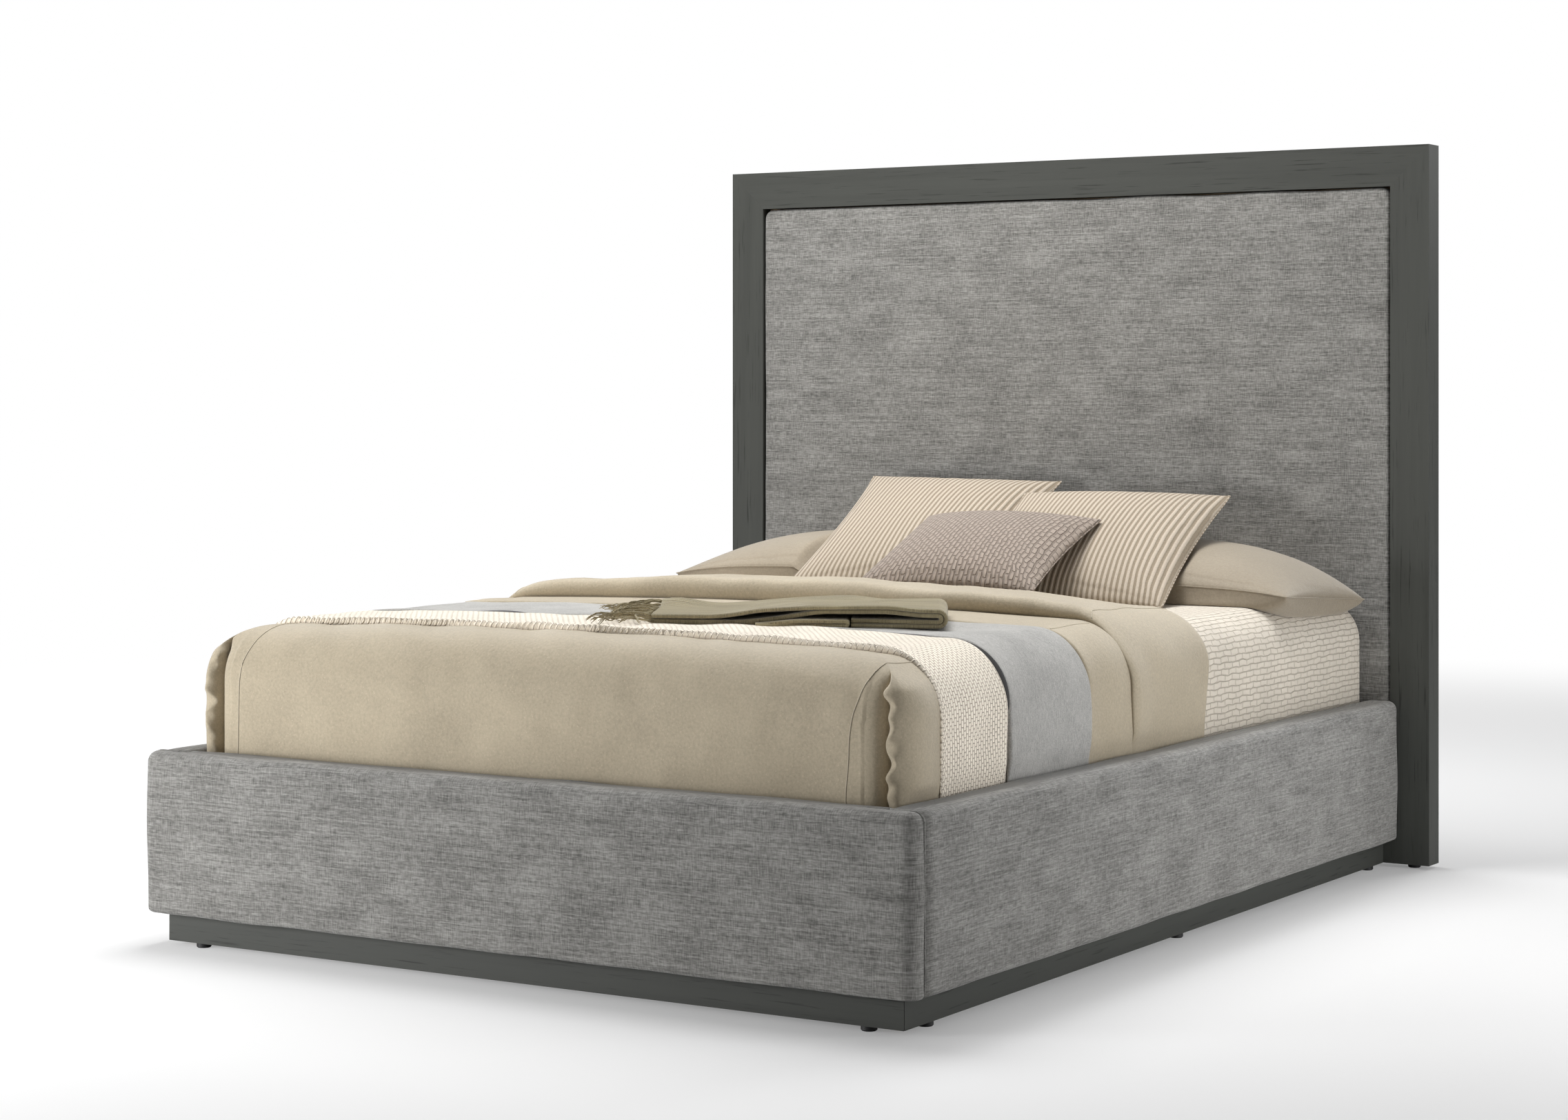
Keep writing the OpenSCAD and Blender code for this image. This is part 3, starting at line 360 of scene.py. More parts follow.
def greyWool(name):
    # Brushed heather wool: tone is 0.4 of long hairs, 0.4 of fuzz and 0.2 of clouds, with a darker strip along the
    # hem that is partly dark binding and partly painted shadow
    look = {"pale": (0.60, 0.592, 0.57), "mid": (0.43, 0.423, 0.405), "deep": (0.25, 0.248, 0.24),
            "edge": (0.14, 0.14, 0.145), "edgeWidth": 0.009}
    material, tree, shader = beginMaterial(name, 0.95, Sheen_Weight=0.08, Sheen_Roughness=0.5, Specular_IOR_Level=0.2)
    hairs = grainNoise(tree, onCloth(tree, (60, 420, 1)), 4.0, 0.7)
    fuzz = grainNoise(tree, place(tree, (420, 420, 420)), 3.0, 0.7)
    clouds = grainNoise(tree, place(tree, (8, 8, 8)), 3.0, 0.6)
    tone = weighted(tree, (hairs, 0.4), (fuzz, 0.4), (clouds, 0.2))
    colour = rampColour(tree, tone, [(0.36, shade(look["deep"])), (0.5, shade(look["mid"])),
                                     (0.64, shade(look["pale"]))])
    # The hem strip: partly the binding's darker colour, partly painted shadow along the edge
    edge = calc(tree, "LESS_THAN", splitUp(tree, clothMap(tree))[1], look["edgeWidth"])
    colour = mixColour(tree, edge, colour, shade(look["edge"]))
    tree.links.new(colour, shader.inputs["Base Color"])
    addBump(tree, shader, fuzz, 0.5, 0.0012)
    return material


def oliveKnit(name, times=1.0):
    # Loose olive throw: tone is 0.48 of weave, 0.30 of lines
    # and 0.22 of streaks, under ribs that are a sine across it; the hollows between the ribs are painted darker as
    # shade
    # times scales the tone; 1.4 gives the lighter copy that is painted light
    look = {"tone": (0.31, 0.265, 0.162), "dark": (0.095, 0.078, 0.042), "ribPitch": 0.0085}
    material, tree, shader = beginMaterial(name, 0.92, Sheen_Weight=0.3, Sheen_Roughness=0.5, Specular_IOR_Level=0.2)
    flat = splitUp(tree, clothMap(tree))
    slack = grainNoise(tree, onCloth(tree, (18, 18, 1)), 2.0)
    across = calc(tree, "ADD", flat[1], calc(tree, "MULTIPLY", slack, 0.004))
    wave = calc(tree, "SINE", calc(tree, "MULTIPLY", across, 2 * math.pi / look["ribPitch"]))
    rib = calc(tree, "MULTIPLY_ADD", wave, 0.5, 0.5)
    weave = grainNoise(tree, onCloth(tree, (500, 300, 1)), 3.0, 0.7)
    lines = grainNoise(tree, onCloth(tree, (12, 260, 1)), 3.0, 0.6)
    streaks = grainNoise(tree, onCloth(tree, (5, 60, 1)), 1.0, 0.5)
    tone = weighted(tree, (weave, 0.48), (lines, 0.30), (streaks, 0.22))
    colour = rampColour(tree, tone, [(0.36, shade(look["dark"], times)), (0.50, shade(look["tone"], times)),
                                     (0.64, shade(look["tone"], 1.5 * times))])
    # Painted shade: the colour goes up to 0.34 of the way to the dark tone in the hollows between the ribs
    colour = mixColour(tree, calc(tree, "MULTIPLY_ADD", rib, -0.34, 0.34), colour, shade(look["dark"], 1.4))
    tree.links.new(colour, shader.inputs["Base Color"])
    addBump(tree, shader, rib, 0.6, 0.0014)
    addBump(tree, shader, weave, 0.5, 0.0008)
    return material


def stripedLinen(name):
    # Padded ivory stripes between flat taupe ones along the cushion's depth: ivory where a sine across it is high
    look = {"ivory": (0.53, 0.455, 0.365), "taupe": (0.265, 0.213, 0.150), "pitch": 0.0132}
    material, tree, shader = beginMaterial(name, 0.85, Sheen_Weight=0.2, Sheen_Roughness=0.5, Specular_IOR_Level=0.25)
    flat = splitUp(tree, clothMap(tree))
    drift = grainNoise(tree, onCloth(tree, (9, 9, 1)), 2.0)
    across = calc(tree, "ADD", flat[0], calc(tree, "MULTIPLY", drift, 0.005))
    wave = calc(tree, "SINE", calc(tree, "MULTIPLY", across, 2 * math.pi / look["pitch"]))
    raised = rampColour(tree, calc(tree, "MULTIPLY_ADD", wave, 0.5, 0.5),
                        [(0.30, (0, 0, 0, 1)), (0.60, (1, 1, 1, 1))])
    thread = grainNoise(tree, onCloth(tree, (700, 160, 1)), 3.0, 0.65)
    ivory = rampColour(tree, thread, [(0.3, shade(look["ivory"], 0.86)), (0.7, shade(look["ivory"], 1.1))])
    taupe = rampColour(tree, thread, [(0.3, shade(look["taupe"], 0.8)), (0.7, shade(look["taupe"], 1.25))])
    tree.links.new(mixColour(tree, raised, taupe, ivory), shader.inputs["Base Color"])
    addBump(tree, shader, calc(tree, "MULTIPLY_ADD", wave, 0.5, 0.5), 0.8, 0.0022)
    addBump(tree, shader, thread, 0.35, 0.0005)
    return material


def crinkledTaupe(name):
    # Crinkled cotton: short puckers in shifted columns, like smocking; tone is half thread and half creases, and the
    # furrows between the puckers are painted darker as shade
    look = {"tone": (0.345, 0.283, 0.236), "furrow": (0.205, 0.162, 0.128), "bar": (0.023, 0.0105), "gap": 0.0024,
            "wobble": 0.010}
    material, tree, shader = beginMaterial(name, 0.85, Sheen_Weight=0.2, Sheen_Roughness=0.5, Specular_IOR_Level=0.25)
    bars, furrow = ribBricks(tree, *look["bar"], look["gap"], look["wobble"], 0.6, True)
    thread = grainNoise(tree, onCloth(tree, (520, 520, 1)), 3.0, 0.65)
    creases = grainNoise(tree, onCloth(tree, (60, 25, 1)), 3.0, 0.6, 1.2)
    tone = look["tone"]
    colour = rampColour(tree, weighted(tree, (thread, 0.5), (creases, 0.5)),
                        [(0.3, shade(tone, 0.84)), (0.7, shade(tone, 1.14))])
    # Painted shade: the furrows between the puckers take 0.85 of the darker furrow colour
    colour = mixColour(tree, calc(tree, "MULTIPLY", furrow, 0.85), colour, shade(look["furrow"]))
    tree.links.new(colour, shader.inputs["Base Color"])
    addBump(tree, shader, bars, 1.0, 0.0040)
    addBump(tree, shader, creases, 0.5, 0.002)
    return material


def quiltedTicking(name):
    # Woven ticking quilted in diamonds: the height is the product of two slanting sines to the power 0.35
    quilt = 0.17
    material, tree, shader = plainCloth(name, (0.70, 0.68, 0.63), 0.06, 0, 0.8, 0.15)
    flat = splitUp(tree, clothMap(tree))
    slants = [calc(tree, "MULTIPLY", calc(tree, way, flat[0], flat[1]), 2 * math.pi / quilt)
              for way in ("ADD", "SUBTRACT")]
    both = [calc(tree, "ABSOLUTE", calc(tree, "SINE", slant)) for slant in slants]
    addBump(tree, shader, calc(tree, "POWER", calc(tree, "MULTIPLY", both[0], both[1]), 0.35), 0.8, 0.008)
    return material


def mattePlastic(name):
    # Fine moulded texture on black plastic: colour and bump from one close noise
    material, tree, shader = beginMaterial(name, 0.55)
    speck = grainNoise(tree, place(tree, (900, 900, 900)), 2.0)
    tree.links.new(rampColour(tree, speck, [(0.3, (0.010, 0.010, 0.011, 1)), (0.7, (0.022, 0.022, 0.023, 1))]),
                   shader.inputs["Base Color"])
    addBump(tree, shader, speck, 0.3, 0.0004)
    return material


def zincSteel(name):
    # Zinc-plated steel: colour from a cloudy noise, roughness and bump from one stretched into scratches
    material, tree, shader = beginMaterial(name, 0.38, Metallic=1.0)
    clouds = grainNoise(tree, place(tree, (60, 60, 60)), 3.0, 0.6)
    scratches = grainNoise(tree, place(tree, (900, 900, 40)), 3.0, 0.6)
    tree.links.new(rampColour(tree, clouds, [(0.3, (0.48, 0.49, 0.50, 1)), (0.7, (0.66, 0.67, 0.67, 1))]),
                   shader.inputs["Base Color"])
    tree.links.new(calc(tree, "MULTIPLY_ADD", scratches, 0.3, 0.25), shader.inputs["Roughness"])
    addBump(tree, shader, scratches, 0.15, 0.0002)
    return material


def rawTimber(name, axis):
    # Planed softwood: a ramp of noise stretched along the member for the annual rings, darkened by 0.3 of fine fibres
    material, tree, shader = beginMaterial(name, 0.62)
    stretch = {"x": (1.0, 22, 22), "y": (22, 1.0, 22), "z": (22, 22, 1.0)}[axis]
    rings = grainNoise(tree, place(tree, stretch), 4.0, 0.6, 0.6)
    fibres = grainNoise(tree, place(tree, tuple(9 * s for s in stretch)), 3.0, 0.6)
    tone = (0.56, 0.40, 0.235)
    colour = rampColour(tree, rings, [(0.32, shade(tone, 0.72)), (0.47, shade(tone)), (0.55, shade(tone, 0.85)),
                                      (0.7, shade(tone, 1.12))])
    colour = mixColour(tree, calc(tree, "MULTIPLY", fibres, 0.3), colour, shade(tone, 0.7))
    tree.links.new(colour, shader.inputs["Base Color"])
    addBump(tree, shader, fibres, 0.3, 0.0005)
    return material


def wovenTape(name, tone, pitch):
    # Flat tape or lining: a checker of its pitch as a basket weave, with a noise for its nap
    material, tree, shader = beginMaterial(name, 0.9, Sheen_Weight=0.1)
    weave = addNode(tree, "TexChecker", {"Vector": place(tree, (1 / pitch, 1 / pitch, 1 / pitch)),
                                         "Color1": shade(tone, 0.85), "Color2": shade(tone, 1.12), "Scale": 1.0})
    nap = grainNoise(tree, place(tree, (300, 300, 300)), 3.0, 0.6)
    tree.links.new(mixColour(tree, calc(tree, "MULTIPLY", nap, 0.5), weave.outputs[0], shade(tone, 0.8)),
                   shader.inputs["Base Color"])
    addBump(tree, shader, weave.outputs[1], 0.4, 0.0005)
    return material


# Camera, floor and lights
view = {"place": (3.3356, -5.5018, 1.0559), "turn": 0.5538, "lens": 71.35, "shiftX": -0.0091, "shiftY": -0.1074}
camera = bpy.data.objects.new("camera", bpy.data.cameras.new("camera"))
camera.data.sensor_width = 36
camera.data.lens = view["lens"]
camera.data.shift_x, camera.data.shift_y = view["shiftX"], view["shiftY"]
camera.data.clip_end = 200
camera.location = view["place"]
camera.rotation_euler = (math.pi / 2, 0, view["turn"])
scene.collection.objects.link(camera)
scene.camera = camera
scene.view_settings.view_transform = "Standard"

# The floor's glow is painted light seen only by the camera: it falls along x at glowSlope, to glowLeast, brighter on
# the left as light from that side would be, and the floor fades to white between fadeStart and fadeEnd metres out
studio = {"ambient": 0.24, "white": 1.0, "floor": (0.62, 0.62, 0.622), "floorGlow": 0.31, "glowSlope": -0.11,
          "glowLeast": 0.12, "fadeStart": 3.4, "fadeEnd": 6.5}
# Each lamp: its place, the point it aims at, its disc's size in metres and its watts
lamps = {
    "keyLight": ((-1.9, -3.1, 0.58), (-0.3, -0.6, 0.5), 1.1, 62),
    "sideLight": ((2.9, 0.25, 0.55), (0.6, 0.1, 0.4), 1.2, 24),
    "topLight": ((-0.75, 0.05, 3.6), (-0.05, 0.2, 0.4), 2.0, 96),
    "overLight": ((0.2, 1.15, 2.9), (0.1, 0.2, 0.6), 1.4, 40),
    "backLight": ((1.5, 4.4, 2.6), (0, 1.0, 0.8), 2.0, 45),
}


def softLamp(name, place, aim, size, watts):
    # A disc lamp faces its aim: tilted by the flat distance over the height, and turned by the arc tangent of x and y
    lamp = bpy.data.objects.new(name, bpy.data.lights.new(name, "AREA"))
    lamp.data.shape, lamp.data.size, lamp.data.energy = "DISK", size, watts
    lamp.location = place
    away = np.array(place, float) - np.array(aim, float)
    flat = math.hypot(away[0], away[1])
    lamp.rotation_euler = (math.atan2(flat, away[2]), 0, math.atan2(away[0], -away[1]))
    lamp.visible_camera = False
    scene.collection.objects.link(lamp)


def studioWorld():
    # Even pale surroundings that light the bed at the ambient strength and show as plain white behind it
    world = bpy.data.worlds.new("studio")
    world.use_nodes = True
    tree = world.node_tree
    tree.nodes["Background"].inputs[0].default_value = (1, 1, 1, 1)
    tree.nodes["Background"].inputs[1].default_value = studio["ambient"]
    bright = tree.nodes.new("ShaderNodeBackground")
    bright.inputs[0].default_value, bright.inputs[1].default_value = (1, 1, 1, 1), studio["white"]
    mixer, rays = tree.nodes.new("ShaderNodeMixShader"), tree.nodes.new("ShaderNodeLightPath")
    tree.links.new(rays.outputs["Is Camera Ray"], mixer.inputs[0])
    tree.links.new(tree.nodes["Background"].outputs[0], mixer.inputs[1])
    tree.links.new(bright.outputs[0], mixer.inputs[2])
    tree.links.new(mixer.outputs[0], tree.nodes["World Output"].inputs[0])
    scene.world = world


def studioFloor():
    # A disc of rings round the bed, radius times cosine and sine, whose material fades to white with distance
    radius = np.concatenate([[1e-6], np.linspace(0.5, 8, 16), [20, 60]])
    turn = np.linspace(0, 2 * np.pi, 64, endpoint=False)
    rings = np.stack([radius[:, None] * np.cos(turn), radius[:, None] * np.sin(turn), np.zeros((len(radius), 64))],
                     -1)
    floor = tidyMesh(gridObject("floor", rings, joined=True), fill=False)
    material, tree, shader = beginMaterial("paleFloor", 0.7)
    shader.inputs["Base Color"].default_value = shade(studio["floor"])
    reach = addNode(tree, "VectorMath", {0: objectMap(tree)}, operation="LENGTH").outputs["Value"]
    fade = addNode(tree, "MapRange", {"Value": reach, "From Min": studio["fadeStart"], "From Max": studio["fadeEnd"]},
                   interpolation_type="SMOOTHSTEP").outputs[0]
    seen = addNode(tree, "LightPath").outputs["Is Camera Ray"]
    # Painted light: a glow seen only by the camera, strongest at low x and never under glowLeast, lightens the floor
    # as the lamps would
    along = splitUp(tree, objectMap(tree))[0]
    glowing = calc(tree, "MAXIMUM", calc(tree, "MULTIPLY_ADD", along, studio["glowSlope"], studio["floorGlow"]),
                   studio["glowLeast"])
    glow = addNode(tree, "Emission", {"Color": (1, 1, 1, 1), "Strength": calc(tree, "MULTIPLY", seen, glowing)})
    near = addNode(tree, "AddShader", {0: shader.outputs[0], 1: glow.outputs[0]})
    white = calc(tree, "MULTIPLY_ADD", seen, studio["white"] - studio["ambient"], studio["ambient"])
    far = addNode(tree, "Emission", {"Color": (1, 1, 1, 1), "Strength": white})
    mixer = addNode(tree, "MixShader", {0: fade, 1: near.outputs[0], 2: far.outputs[0]})
    tree.links.new(mixer.outputs[0], tree.nodes["Material Output"].inputs[0])
    floor.data.materials.append(material)


studioWorld()
studioFloor()
for lampName, values in lamps.items():
    softLamp(lampName, *values)
print("camera, floor and lights made")


# Materials on the CAD nodes
woodBy = {axis: stainedWood("stainedAsh" + axis.upper(), axis) for axis in "xyz"}
timberBy = {axis: rawTimber("rawTimber" + axis.upper(), axis) for axis in "xyz"}
plastic = mattePlastic("blackPlastic")
steel = zincSteel("zincSteel")
tape = wovenTape("webbingTape", (0.62, 0.59, 0.50), 0.0025)
lining = wovenTape("blackLining", (0.022, 0.022, 0.023), 0.0012)
finishes = [
    (woodBy["x"], ["headboard_top_rail", "headboard_lower_board", "plinth_front"]),
    (woodBy["y"], ["plinth_side_left", "plinth_side_right"]),
    (woodBy["z"], ["headboard_post_left", "headboard_post_right"]),
    (timberBy["x"], ["headboard_cleats", "headboard_cross_batten", "headboard_panel_board", "footboard", "slats"]),
    (timberBy["y"], ["side_rail_left", "side_rail_right", "rail_end_blocks", "slat_ledge_left", "slat_ledge_right",
                     "centre_beam"]),
    (timberBy["z"], ["plinth_blocks", "centre_legs"]),
    (plastic, ["plinth_glides", "headboard_glides", "centre_leg_glides"]),
    (tape, ["slat_straps"]),
    (lining, ["headboard_back_cover"]),
    (steel, ["beam_cups", "head_bolts", "barrel_nuts", "corner_angles", "corner_bolts"]),
]
for finish, names in finishes:
    for nodeName in names:
        nodes[nodeName].data.materials.clear()
        nodes[nodeName].data.materials.append(finish)
print("finishes on", sum(len(names) for finish, names in finishes), "CAD nodes")


# Upholstered panel
def roundRect(halfX, halfY, radius, along, corner):
    # Rounded rectangle anticlockwise from its right side: four quarter circles
    # joined by even straight runs, with the same point count at any size
    radius = min(radius, halfX * 0.999, halfY * 0.999)
    turns = np.linspace(0, np.pi / 2, corner)
    arc = np.stack([np.cos(turns), np.sin(turns)], -1) * radius
    straightX = np.linspace(halfX - radius, -(halfX - radius), along[0] + 2)[1:-1]
    straightY = np.linspace(-(halfY - radius), halfY - radius, along[1] + 2)[1:-1]
    sides = []
    for quarter, (sx, sy) in enumerate([(1, 1), (-1, 1), (-1, -1), (1, -1)]):
        c, s = math.cos(quarter * math.pi / 2), math.sin(quarter * math.pi / 2)
        spin = np.array([[c, s], [-s, c]])
        sides.append(arc @ spin + [sx * (halfX - radius), sy * (halfY - radius)])
        if quarter == 0:
            sides.append(np.stack([straightX, np.full(along[0], halfY)], -1))
        if quarter == 1:
            sides.append(np.stack([np.full(along[1], -halfX), straightY[::-1]], -1))
        if quarter == 2:
            sides.append(np.stack([-straightX, np.full(along[0], -halfY)], -1))
        if quarter == 3:
            sides.append(np.stack([np.full(along[1], halfX), straightY], -1))
    return np.concatenate(sides)


def upholsteredPanel():
    # Rings of a rounded rectangle: up the side, round the padded edge, then
    # scaled in over a crown of one less x cubed times one less z cubed
    look = {"edge": 0.009, "corner": 0.022, "crown": 0.004, "uneven": 0.0011}
    low, high = nodeBox("headboard_pad")
    middle, half = (low + high) / 2, (high - low) / 2
    rings = [(0.004, high[1], 1.0), (0.0, high[1] - 0.004, 1.0), (0.0, low[1] + look["edge"] + 0.008, 1.0)]
    rings += [(look["edge"] * (1 - math.cos(a)), low[1] + look["edge"] * (1 - math.sin(a)), 1.0)
              for a in np.linspace(0, math.pi / 2, 8)]
    rings += [(look["edge"], low[1], k) for k in (0.985, 0.96, 0.92, 0.86, 0.78, 0.68, 0.56, 0.42, 0.28, 0.14, 0.02)]
    rows = []
    for inset, depth, k in rings:
        loop = roundRect(half[0] - inset, half[2] - inset, look["corner"] - inset * 0.6, (44, 32), 8)
        uneven = softWaves(loop[:, 0], loop[:, 1], 0.22, 3) * look["uneven"] * (1 if k == 1 else k ** 6)
        loop = loop * (k - uneven / np.linalg.norm(loop, axis=1))[:, None]
        crown = look["crown"] if k < 1 else 0
        crowned = crown * (1 - np.abs(loop[:, 0] / half[0]) ** 3) * (1 - np.abs(loop[:, 1] / half[2]) ** 3)
        rows.append(np.stack([middle[0] + loop[:, 0], depth - crowned + 0 * loop[:, 0], middle[2] + loop[:, 1]], -1))
    return gridObject("panelUpholstery", np.array(rows), joined=True)


panelCloth = slubFabric("slubPanel", False)
panel = tidyMesh(upholsteredPanel())
dress(panel, "frame", panelCloth, ["headboard_pad"])
print("panel upholstered")


# Upholstered rails
railLook = {"topRadius": 0.020, "lowRadius": 0.008, "bulge": 0.0016, "uneven": 0.0008, "seamEase": 0.22,
            "innerEase": 0.45, "welt": 0.0019}


def cornerLoop(corners, spacing=0.035):
    # Outline through right-angled corners (x, y, radius, share) anticlockwise: returns points, inward
    # directions and the run. share says how much of an inset the edge after that corner takes.
    count = len(corners)
    spots = [np.array(c[:2], float) for c in corners]
    ahead = [(spots[(k + 1) % count] - spots[k]) / np.linalg.norm(spots[(k + 1) % count] - spots[k])
             for k in range(count)]
    inward = [np.array([-e[1], e[0]]) for e in ahead]
    points, pulls = [], []
    for k in range(count):
        before, radius = (k - 1) % count, corners[k][2]
        n0, n1 = inward[before] * corners[before][3], inward[k] * corners[k][3]
        if radius > 0:
            centre = spots[k] - ahead[before] * radius + ahead[k] * radius
            turn = np.linspace(0, math.pi / 2, 9)[:, None]
            spread = np.cos(turn) * inward[before] + np.sin(turn) * inward[k]
            points.append(centre - radius * spread)
            pulls.append(np.cos(turn) * n0 + np.sin(turn) * n1)
        else:
            points.append(spots[k][None])
            pulls.append((n0 + n1)[None])
        start = spots[k] + ahead[k] * radius
        finish = spots[(k + 1) % count] - ahead[k] * corners[(k + 1) % count][2]
        steps = max(2, int(np.linalg.norm(finish - start) / spacing))
        share = np.linspace(0, 1, steps + 1)[1:-1, None]
        points.append(start + (finish - start) * share)
        pulls.append(np.broadcast_to(n1, (len(share), 2)))
    points, pulls = np.concatenate(points), np.concatenate(pulls)
    return points, pulls, runLength(np.concatenate([points, points[:1]]))


def paddedRail(name, corners, lowZ, highZ, seed):
    # The outline carried up the rail's height and moved in by each step: a quarter circle under, a sine's
    # bulge up the face and a quarter circle over the top, less a sum of sines for the uneven padding
    points, pulls, run = cornerLoop(corners)
    top, low = railLook["topRadius"], railLook["lowRadius"]
    steps = [(low + 0.006, lowZ)]
    steps += [(low * (1 - math.sin(a)), lowZ + low * (1 - math.cos(a))) for a in np.linspace(0, math.pi / 2, 5)]
    steps += [(-railLook["bulge"] * math.sin(math.pi * t), lowZ + low + (highZ - top - lowZ - low) * t)
              for t in np.linspace(0.08, 0.92, 9)]
    steps += [(top * (1 - math.cos(a)), highZ - top * (1 - math.sin(a))) for a in np.linspace(0, math.pi / 2, 10)]
    steps += [(top + 0.0035, highZ + 0.0004), (top + 0.006, highZ + 0.0007)]
    steps = np.array(steps)
    uneven = softWaves(run[None, :-1], steps[:, 1:], 0.19, seed) * railLook["uneven"]
    inset = steps[:, :1] - uneven
    flat = points[None] + pulls[None] * inset[..., None]
    height = steps[:, 1:] + softWaves(run[None, :-1], 0 * steps[:, 1:], 0.24, seed + 50) * 0.0007
    grid = np.concatenate([flat, np.broadcast_to(height, flat.shape[:2])[..., None]], -1)
    climb = runLength(steps)
    uv = np.stack(np.broadcast_arrays(run[None, :], climb[:, None]), -1)
    return tidyMesh(gridObject(name, grid, uv, joined=True))


railCloth = slubFabric("slubRails", True)
railBox, footBox = nodeBox("side_rail_jacket_right"), nodeBox("footboard_jacket")
inX, outX = railBox[0][0], railBox[1][0]
seamY, backY, footY, footInY = railBox[0][1], railBox[1][1], footBox[0][1], footBox[1][1]
railLow, railTop = railBox[0][2], railBox[1][2]
ease, innerEase = railLook["seamEase"], railLook["innerEase"]
rightRail = paddedRail("railCoverRight", [(inX, seamY, 0, ease), (outX, seamY, 0, 1), (outX, backY, 0.022, 0.7),
                                          (inX, backY, 0, innerEase)], railLow, railTop, 11)
leftRail = paddedRail("railCoverLeft", [(-outX, seamY, 0, ease), (-inX, seamY, 0, innerEase), (-inX, backY, 0, 0.7),
                                        (-outX, backY, 0.022, 1)], railLow, railTop, 12)
footRail = paddedRail("footboardCover", [(-outX, footY, 0.028, 1), (outX, footY, 0.028, 1), (outX, seamY, 0, ease),
                                         (inX, seamY, 0, ease), (inX, footInY, 0, innerEase),
                                         (-inX, footInY, 0, ease), (-inX, seamY, 0, ease), (-outX, seamY, 0, 1)],
                      railLow, railTop, 13)
for piece, node in ((rightRail, "side_rail_jacket_right"), (leftRail, "side_rail_jacket_left"),
                    (footRail, "footboard_jacket")):
    dress(piece, "frame", railCloth, [node])


def railWelt(name, side):
    # Piped seam between footboard and side rail: a tube under,
    # straight up the face, round the top's quarter circle and in
    top = railLook["topRadius"]
    path = [(outX - 0.010, railLow + 0.0005), (outX - 0.001, railLow + 0.004)]
    path += [(outX + 0.0004, z) for z in np.linspace(railLow + 0.012, railTop - top, 14)]
    path += [(outX + 0.0004 - top * (1 - math.cos(a)), railTop + 0.0002 - top * (1 - math.sin(a)))
             for a in np.linspace(0.15, math.pi / 2, 8)]
    path += [(x, railTop + 0.0003) for x in np.linspace(outX - top - 0.006, inX + 0.010, 6)]
    path = np.array(path)
    path = np.stack([side * path[:, 0], np.full(len(path), seamY), path[:, 1]], -1)
    dress(tubeAlong(name, path, railLook["welt"], 8), "frame", railCloth)


railWelt("seamWeltRight", 1)
railWelt("seamWeltLeft", -1)
print("rails upholstered")


# Mattress and fitted sheet
bed = {"half": 0.7651, "top": 0.5984, "radius": 0.0951, "low": 0.330}  # the made-up bed's section under the blankets
mattressLook = {"corner": 0.030, "topRadius": 0.092, "lowRadius": 0.025, "tapeUp": 0.005, "tapeOut": 0.0022}
satin = plainCloth("greigeSatin", (0.462, 0.396, 0.288), 0.17, 0.30, 0.72, 0.35)[0]
ticking = quiltedTicking("quiltedTicking")


def boxedForm(name, low, high, corner, topRadius, lowRadius, rows):
    # Rings of a rounded rectangle, each moved in by its step: round the lower
    # edge's quarter circle, up the wall, round the top edge's and in to the middle
    middle, half = (low + high) / 2, (high - low) / 2
    steps = [(0.0, low[2])]
    if lowRadius:
        steps = [(lowRadius * (1 - math.sin(a)), low[2] + lowRadius * (1 - math.cos(a)))
                 for a in np.linspace(0, math.pi / 2, 6)]
    steps += [(0.0, z) for z in np.linspace(low[2] + lowRadius + 0.01, high[2] - topRadius - 0.01, rows[0])]
    steps += [(topRadius * (1 - math.cos(a)), high[2] - topRadius * (1 - math.sin(a)))
              for a in np.linspace(0, math.pi / 2, rows[1])]
    wide = min(half[0], half[1])
    steps += [(topRadius + (wide - topRadius - 0.004) * k, high[2]) for k in np.linspace(0, 1, rows[2])[1:]]
    loops = [roundRect(half[0] - s[0], half[1] - s[0], max(corner - s[0] * 0.9, 0.004), (60, 80), 10) + middle[:2]
             for s in steps]
    points = np.array([np.concatenate([loop, np.full((len(loop), 1), s[1])], 1) for loop, s in zip(loops, steps)])
    run = runLength(np.concatenate([points[8], points[8, :1]]))
    uv = np.stack(np.broadcast_arrays(run[None, :], runLength(np.array(steps))[:, None]), -1)
    return gridObject(name, points, uv, joined=True)


low, high = nodeBox("mattress")
core = tidyMesh(boxedForm("mattressCore", low, high, mattressLook["corner"], mattressLook["topRadius"],
                          mattressLook["lowRadius"], (7, 14, 12)))
dress(core, "made_up_mattress", ticking, ["mattress"])


def mattressTape(name, z, inset):
    # Tape edge: a flat round section, cosine outwards and sine upwards, carried round the mattress
    middle, half = (low[:2] + high[:2]) / 2, (high[:2] - low[:2]) / 2 - inset
    loop = roundRect(half[0], half[1], mattressLook["corner"], (60, 80), 10) + middle
    turn = np.linspace(0, 2 * np.pi, 8, endpoint=False)
    away = loop - middle
    away /= np.linalg.norm(away, axis=1, keepdims=True)
    flat = loop[:, None] + away[:, None] * mattressLook["tapeOut"] * np.cos(turn)[:, None]
    height = np.broadcast_to(z + mattressLook["tapeUp"] * np.sin(turn), (len(loop), 8))
    ring = np.concatenate([flat, height[..., None]], -1)
    ring = np.concatenate([ring, ring[:1]])
    dress(tidyMesh(gridObject(name, ring, joined=True), fill=False), "made_up_mattress", tapeCloth)


tapeCloth = wovenTape("tapeEdge", (0.62, 0.60, 0.56), 0.0016)
mattressTape("mattressTapeLow", low[2] + 0.017, 0.0015)
mattressTape("mattressTapeSide", low[2] + 0.030, -0.0012)

